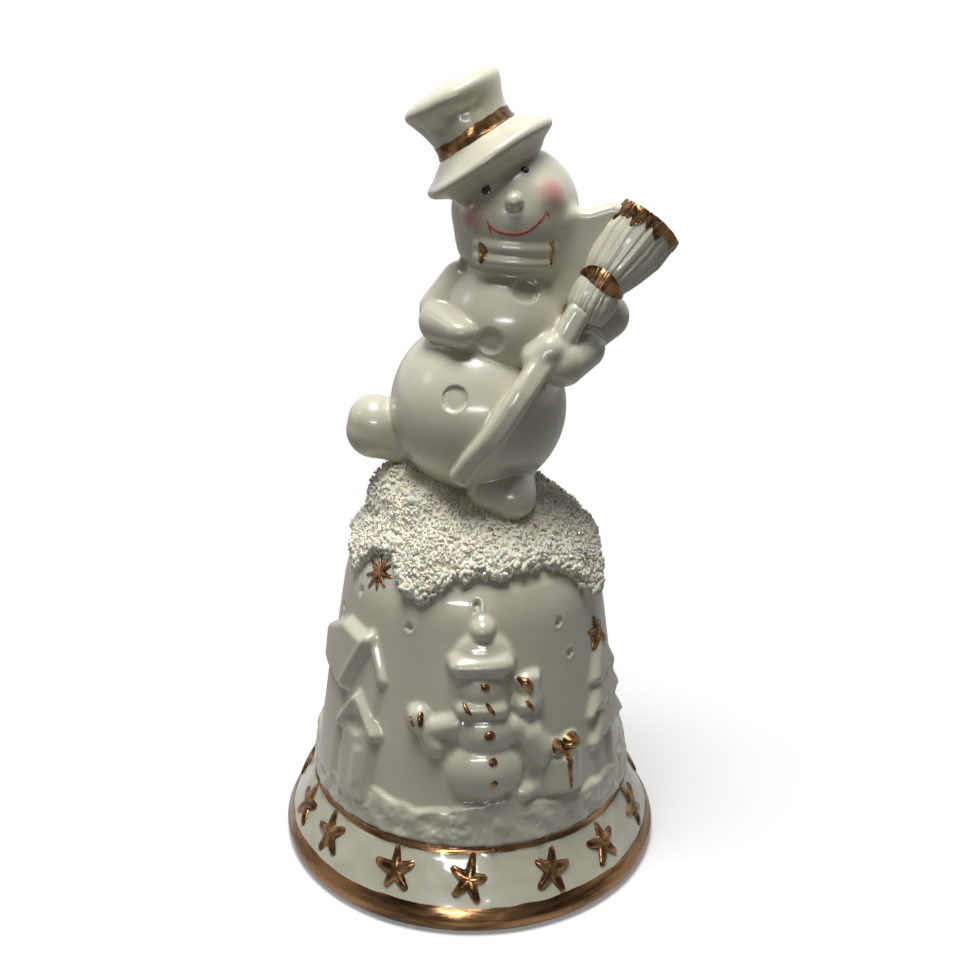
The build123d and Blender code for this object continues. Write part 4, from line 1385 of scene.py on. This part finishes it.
def paint(name, dark, light, roughness):
    material, tree, place = startMaterial(name)
    tone = grain(place, 1500.0, 2.0).step(0.35, 0.65)
    sockets = {"Base Color": tone.mix(dark, light), "Roughness": tone * 0.1 + roughness}
    finishMaterial(tree, sockets)
    return material


def snowFinish():
    material, tree, place = startMaterial("snowGrit")
    tone = cells(place, 1600.0).step(0.1, 0.8)
    base = tone.mix(colour(0.985, 0.96, 0.84), colour(0.95, 0.915, 0.76))
    finishMaterial(tree, {"Base Color": base, "Roughness": tone * 0.3 + 0.45})
    return material


def glitterFinish():
    # each flake takes one hue by the cell it lies in
    material, tree, place = startMaterial("snowGlitter")
    pick = place.node("ShaderNodeSeparateColor", None, {0: cells(place, 1400.0, 1)})
    stops = [
        (0.0, colour(0.9, 0.95, 1.0)), (0.22, colour(0.35, 0.9, 0.75)), (0.4, colour(0.45, 0.75, 1.0)),
        (0.52, colour(0.55, 0.2, 0.25)), (0.8, colour(0.3, 0.12, 0.16)), (1.0, colour(0.9, 0.75, 0.7)),
    ]
    base = pick.node("ShaderNodeValToRGB", {"stops": stops}, {0: pick})
    finishMaterial(tree, {"Base Color": base, "Roughness": 0.15, "Metallic": 0.5})
    return material


def wireFinish():
    material, tree, place = startMaterial("drawnWire")
    streak = place.node("ShaderNodeMapping", None, {0: place, 3: (1.0, 1.0, 0.06)})
    drawn = grain(streak, 3000.0, 2.0)
    base = drawn.step(0.3, 0.7).mix(colour(0.42, 0.41, 0.39), colour(0.58, 0.57, 0.54))
    sockets = {"Base Color": base, "Roughness": drawn * 0.2 + 0.22, "Metallic": 1.0}
    finishMaterial(tree, {**sockets, "Normal": bump(drawn, 0.01 * mm)})
    return material


glazed, satin = porcelain("glazedPorcelain", 0.3, 0.07), porcelain("satinPorcelain")
gold, ringGold = goldLustre("goldLustre"), goldLustre("ringGold", 5.0)
cheeks = [(onHead((36, 23.5)), 4.2, 0.85), (onHead((-42.5, 1.0)), 3.8, 0.8)]
blushed = porcelain("blushPorcelain", blushes=cheeks)
black = paint("blackPaint", colour(0.012, 0.01, 0.01), colour(0.03, 0.026, 0.024), 0.12)
halo = paint("halo", colour(0.62, 0.61, 0.53), colour(0.7, 0.69, 0.6), 0.15)
red = paint("redPaint", colour(0.50, 0.07, 0.055), colour(0.66, 0.15, 0.12), 0.3)
snowWhite = snowFinish()
finishPiece(bellBody, glazed, "bell", (
    "bell_shell", "snow_bank", "house_front", "porch",
    "fir_tree", "fir_tree_back_left", "fir_tree_back_right", "gift_box",
    "small_snowman", "small_hat", "small_arms", "small_broom",
))
finishPiece(snowmanFigure, blushed, "bell", (
    "belly", "chest", "head", "nose", "scarf", "left_arm", "left_mitten", "right_mitten", "right_arm",
    "left_boot", "right_boot", "broom_web", "broom_handle",
))
finishPiece(topHat, satin, "bell", ("hat_brim", "hat_crown"))
finishPiece(hatBand, gold, "bell", ("hat_band",))
finishPiece(broomBristles, satin, "bell", ("broom_bristles",))
finishPiece(broomTip, gold, "bell", ("broom_tip_gilding",))
finishPiece(broomTie, gold, "bell", ("broom_tie",))
for piece, material in ((eyes, black), (eyeHalo, halo), (mouth, red)):
    finishPiece(piece, material, "bell")
finishPiece(scarfTrim, gold, "bell", ("scarf_trim",))
for node, piece in makeGilding().items():
    finishPiece(piece, ringGold if node.endswith("_gilding") else gold, "bell", (node,))
finishPiece(snowBed, snowWhite, "bell", ("snow_cap",))
finishPiece(snowGrit, snowWhite, "bell", ("snow_cap",), smooth=80)
finishPiece(snowGlitter, glitterFinish(), "bell", smooth=20)
wire = wireFinish()
for node in ("split_pin", "clapper_wire", "clapper_stop"):
    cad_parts[node].material_slots[0].material = wire
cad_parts["clapper_ball"].material_slots[0].material = porcelain("clapperPorcelain", 0.2)
print("finishes given")


# Studio: white floor that keeps the shadow, soft lamps, plain world
studio = {
    "cameraPlace": (0.0, -236.0, 170.42),
    "cameraPitch": 21.82,
    "cameraYaw": 0.27,
    "cameraRoll": 0.86,
    "lens": 49.92,
    # name, place, width, height and power of each lamp; all aim at the middle of the object
    "lamps": [
        ("softLamp", (-40.0, -75.0, 550.0), 230.0, 230.0, 2.25),
        ("topLamp", (0.0, 60.0, 560.0), 300.0, 300.0, 0.4),
        ("windowLamp", (-430.0, -30.0, 330.0), 110.0, 110.0, 0.12),
        ("glintLamp", (-30.0, -420.0, 185.0), 260.0, 26.0, 0.6),
    ],
    "aim": (0.0, 0.0, 80.0),
    "shade": 0.04,  # what the world gives to the object
    "frontGloss": 0.25,  # what a reflection sees towards the camera
    "floorDrop": 0.05,
    "floorGrey": 0.28,  # how much light the floor throws back at the object
    "floorGlow": 0.2,
    "floorFade": (45.0, 110.0),  # where the floor turns into plain white
}


def raySorts(tree):
    path = tree.nodes.new("ShaderNodeLightPath")
    sorts = ("Is Camera Ray", "Is Glossy Ray", "Is Transmission Ray")
    return [Shade(tree, path.outputs[name]) for name in sorts]


def makeStudio():
    scene = bpy.context.scene
    pitch, yaw, roll = [radians(studio[key]) for key in ("cameraPitch", "cameraYaw", "cameraRoll")]
    camera = bpy.data.objects.new("camera", bpy.data.cameras.new("camera"))
    scene.collection.objects.link(camera)
    camera.data.lens, camera.data.sensor_width = studio["lens"], 36.0
    camera.data.clip_start = 10 * mm
    camera.location = Vector(studio["cameraPlace"]) * mm
    turn = Matrix.Rotation(-yaw, 4, "Z") @ Matrix.Rotation(pi / 2 - pitch, 4, "X")
    turn = turn @ Matrix.Rotation(roll, 4, "Z")
    camera.rotation_euler = turn.to_euler()
    scene.camera = camera
    for name, place, wide, tall, watts in studio["lamps"]:
        lamp = bpy.data.objects.new(name, bpy.data.lights.new(name, "AREA"))
        scene.collection.objects.link(lamp)
        lamp.data.shape, lamp.data.energy = "ELLIPSE", watts
        lamp.data.size, lamp.data.size_y = wide * mm, tall * mm
        lamp.location = Vector(place) * mm
        lamp.visible_diffuse = name != "glintLamp"  # it only glints in the glaze
        aim = Vector(studio["aim"]) * mm - lamp.location
        lamp.rotation_euler = aim.to_track_quat("-Z", "Y").to_euler()
    world = bpy.data.worlds.new("studioWorld")
    scene.world = world
    world.use_nodes = True
    tree = world.node_tree
    tree.nodes.clear()
    straight, glossy, through = raySorts(tree)
    way = Shade(tree).node("ShaderNodeTexCoord", out=0)
    mirrored = axes(way)[1].step(-0.6, 0.3) * (1.0 - studio["frontGloss"]) + studio["frontGloss"]
    strength = straight.larger(through).larger(glossy * mirrored).larger(studio["shade"])
    light = Shade(tree).node("ShaderNodeBackground", None, {"Color": colour(1, 1, 1), "Strength": strength})
    output = tree.nodes.new("ShaderNodeOutputWorld")
    tree.links.new(light.socket, output.inputs["Surface"])
    scene.view_settings.view_transform = "Standard"


def makeFloor():
    clearSelection()
    low = (0, 0, -studio["floorDrop"] * mm)
    bpy.ops.mesh.primitive_circle_add(vertices=96, radius=1.5, fill_type="NGON", location=low)
    floor = bpy.context.object
    floor.name = "studioFloor"
    settle(floor)
    material, tree, place = startMaterial("studioFloorWhite")
    straight, glossy, through = raySorts(tree)
    seen = straight.larger(glossy).larger(through)
    near, away = [reach * mm for reach in studio["floorFade"]]
    far = place.node("ShaderNodeVectorMath", {"operation": "LENGTH"}, {0: place}, 1).step(near, away)
    level = studio["floorGrey"]
    grey, white = colour(level, level, level), colour(1, 1, 1)
    paper = place.node("ShaderNodeBsdfDiffuse", None, {"Color": (seen - glossy * 0.5).mix(grey, white)})
    glow = place.node("ShaderNodeEmission", None, {"Color": white, "Strength": 1.0 - glossy * 0.6})
    lift = place.node("ShaderNodeEmission", None, {"Color": white, "Strength": seen * studio["floorGlow"]})
    lit = place.node("ShaderNodeAddShader", None, {0: paper, 1: lift})
    both = place.node("ShaderNodeMixShader", None, {0: seen * far, 1: lit, 2: glow})
    output = tree.nodes.new("ShaderNodeOutputMaterial")
    tree.links.new(both.socket, output.inputs[0])
    floor.data.materials.append(material)


makeStudio()
makeFloor()
print("studio made")
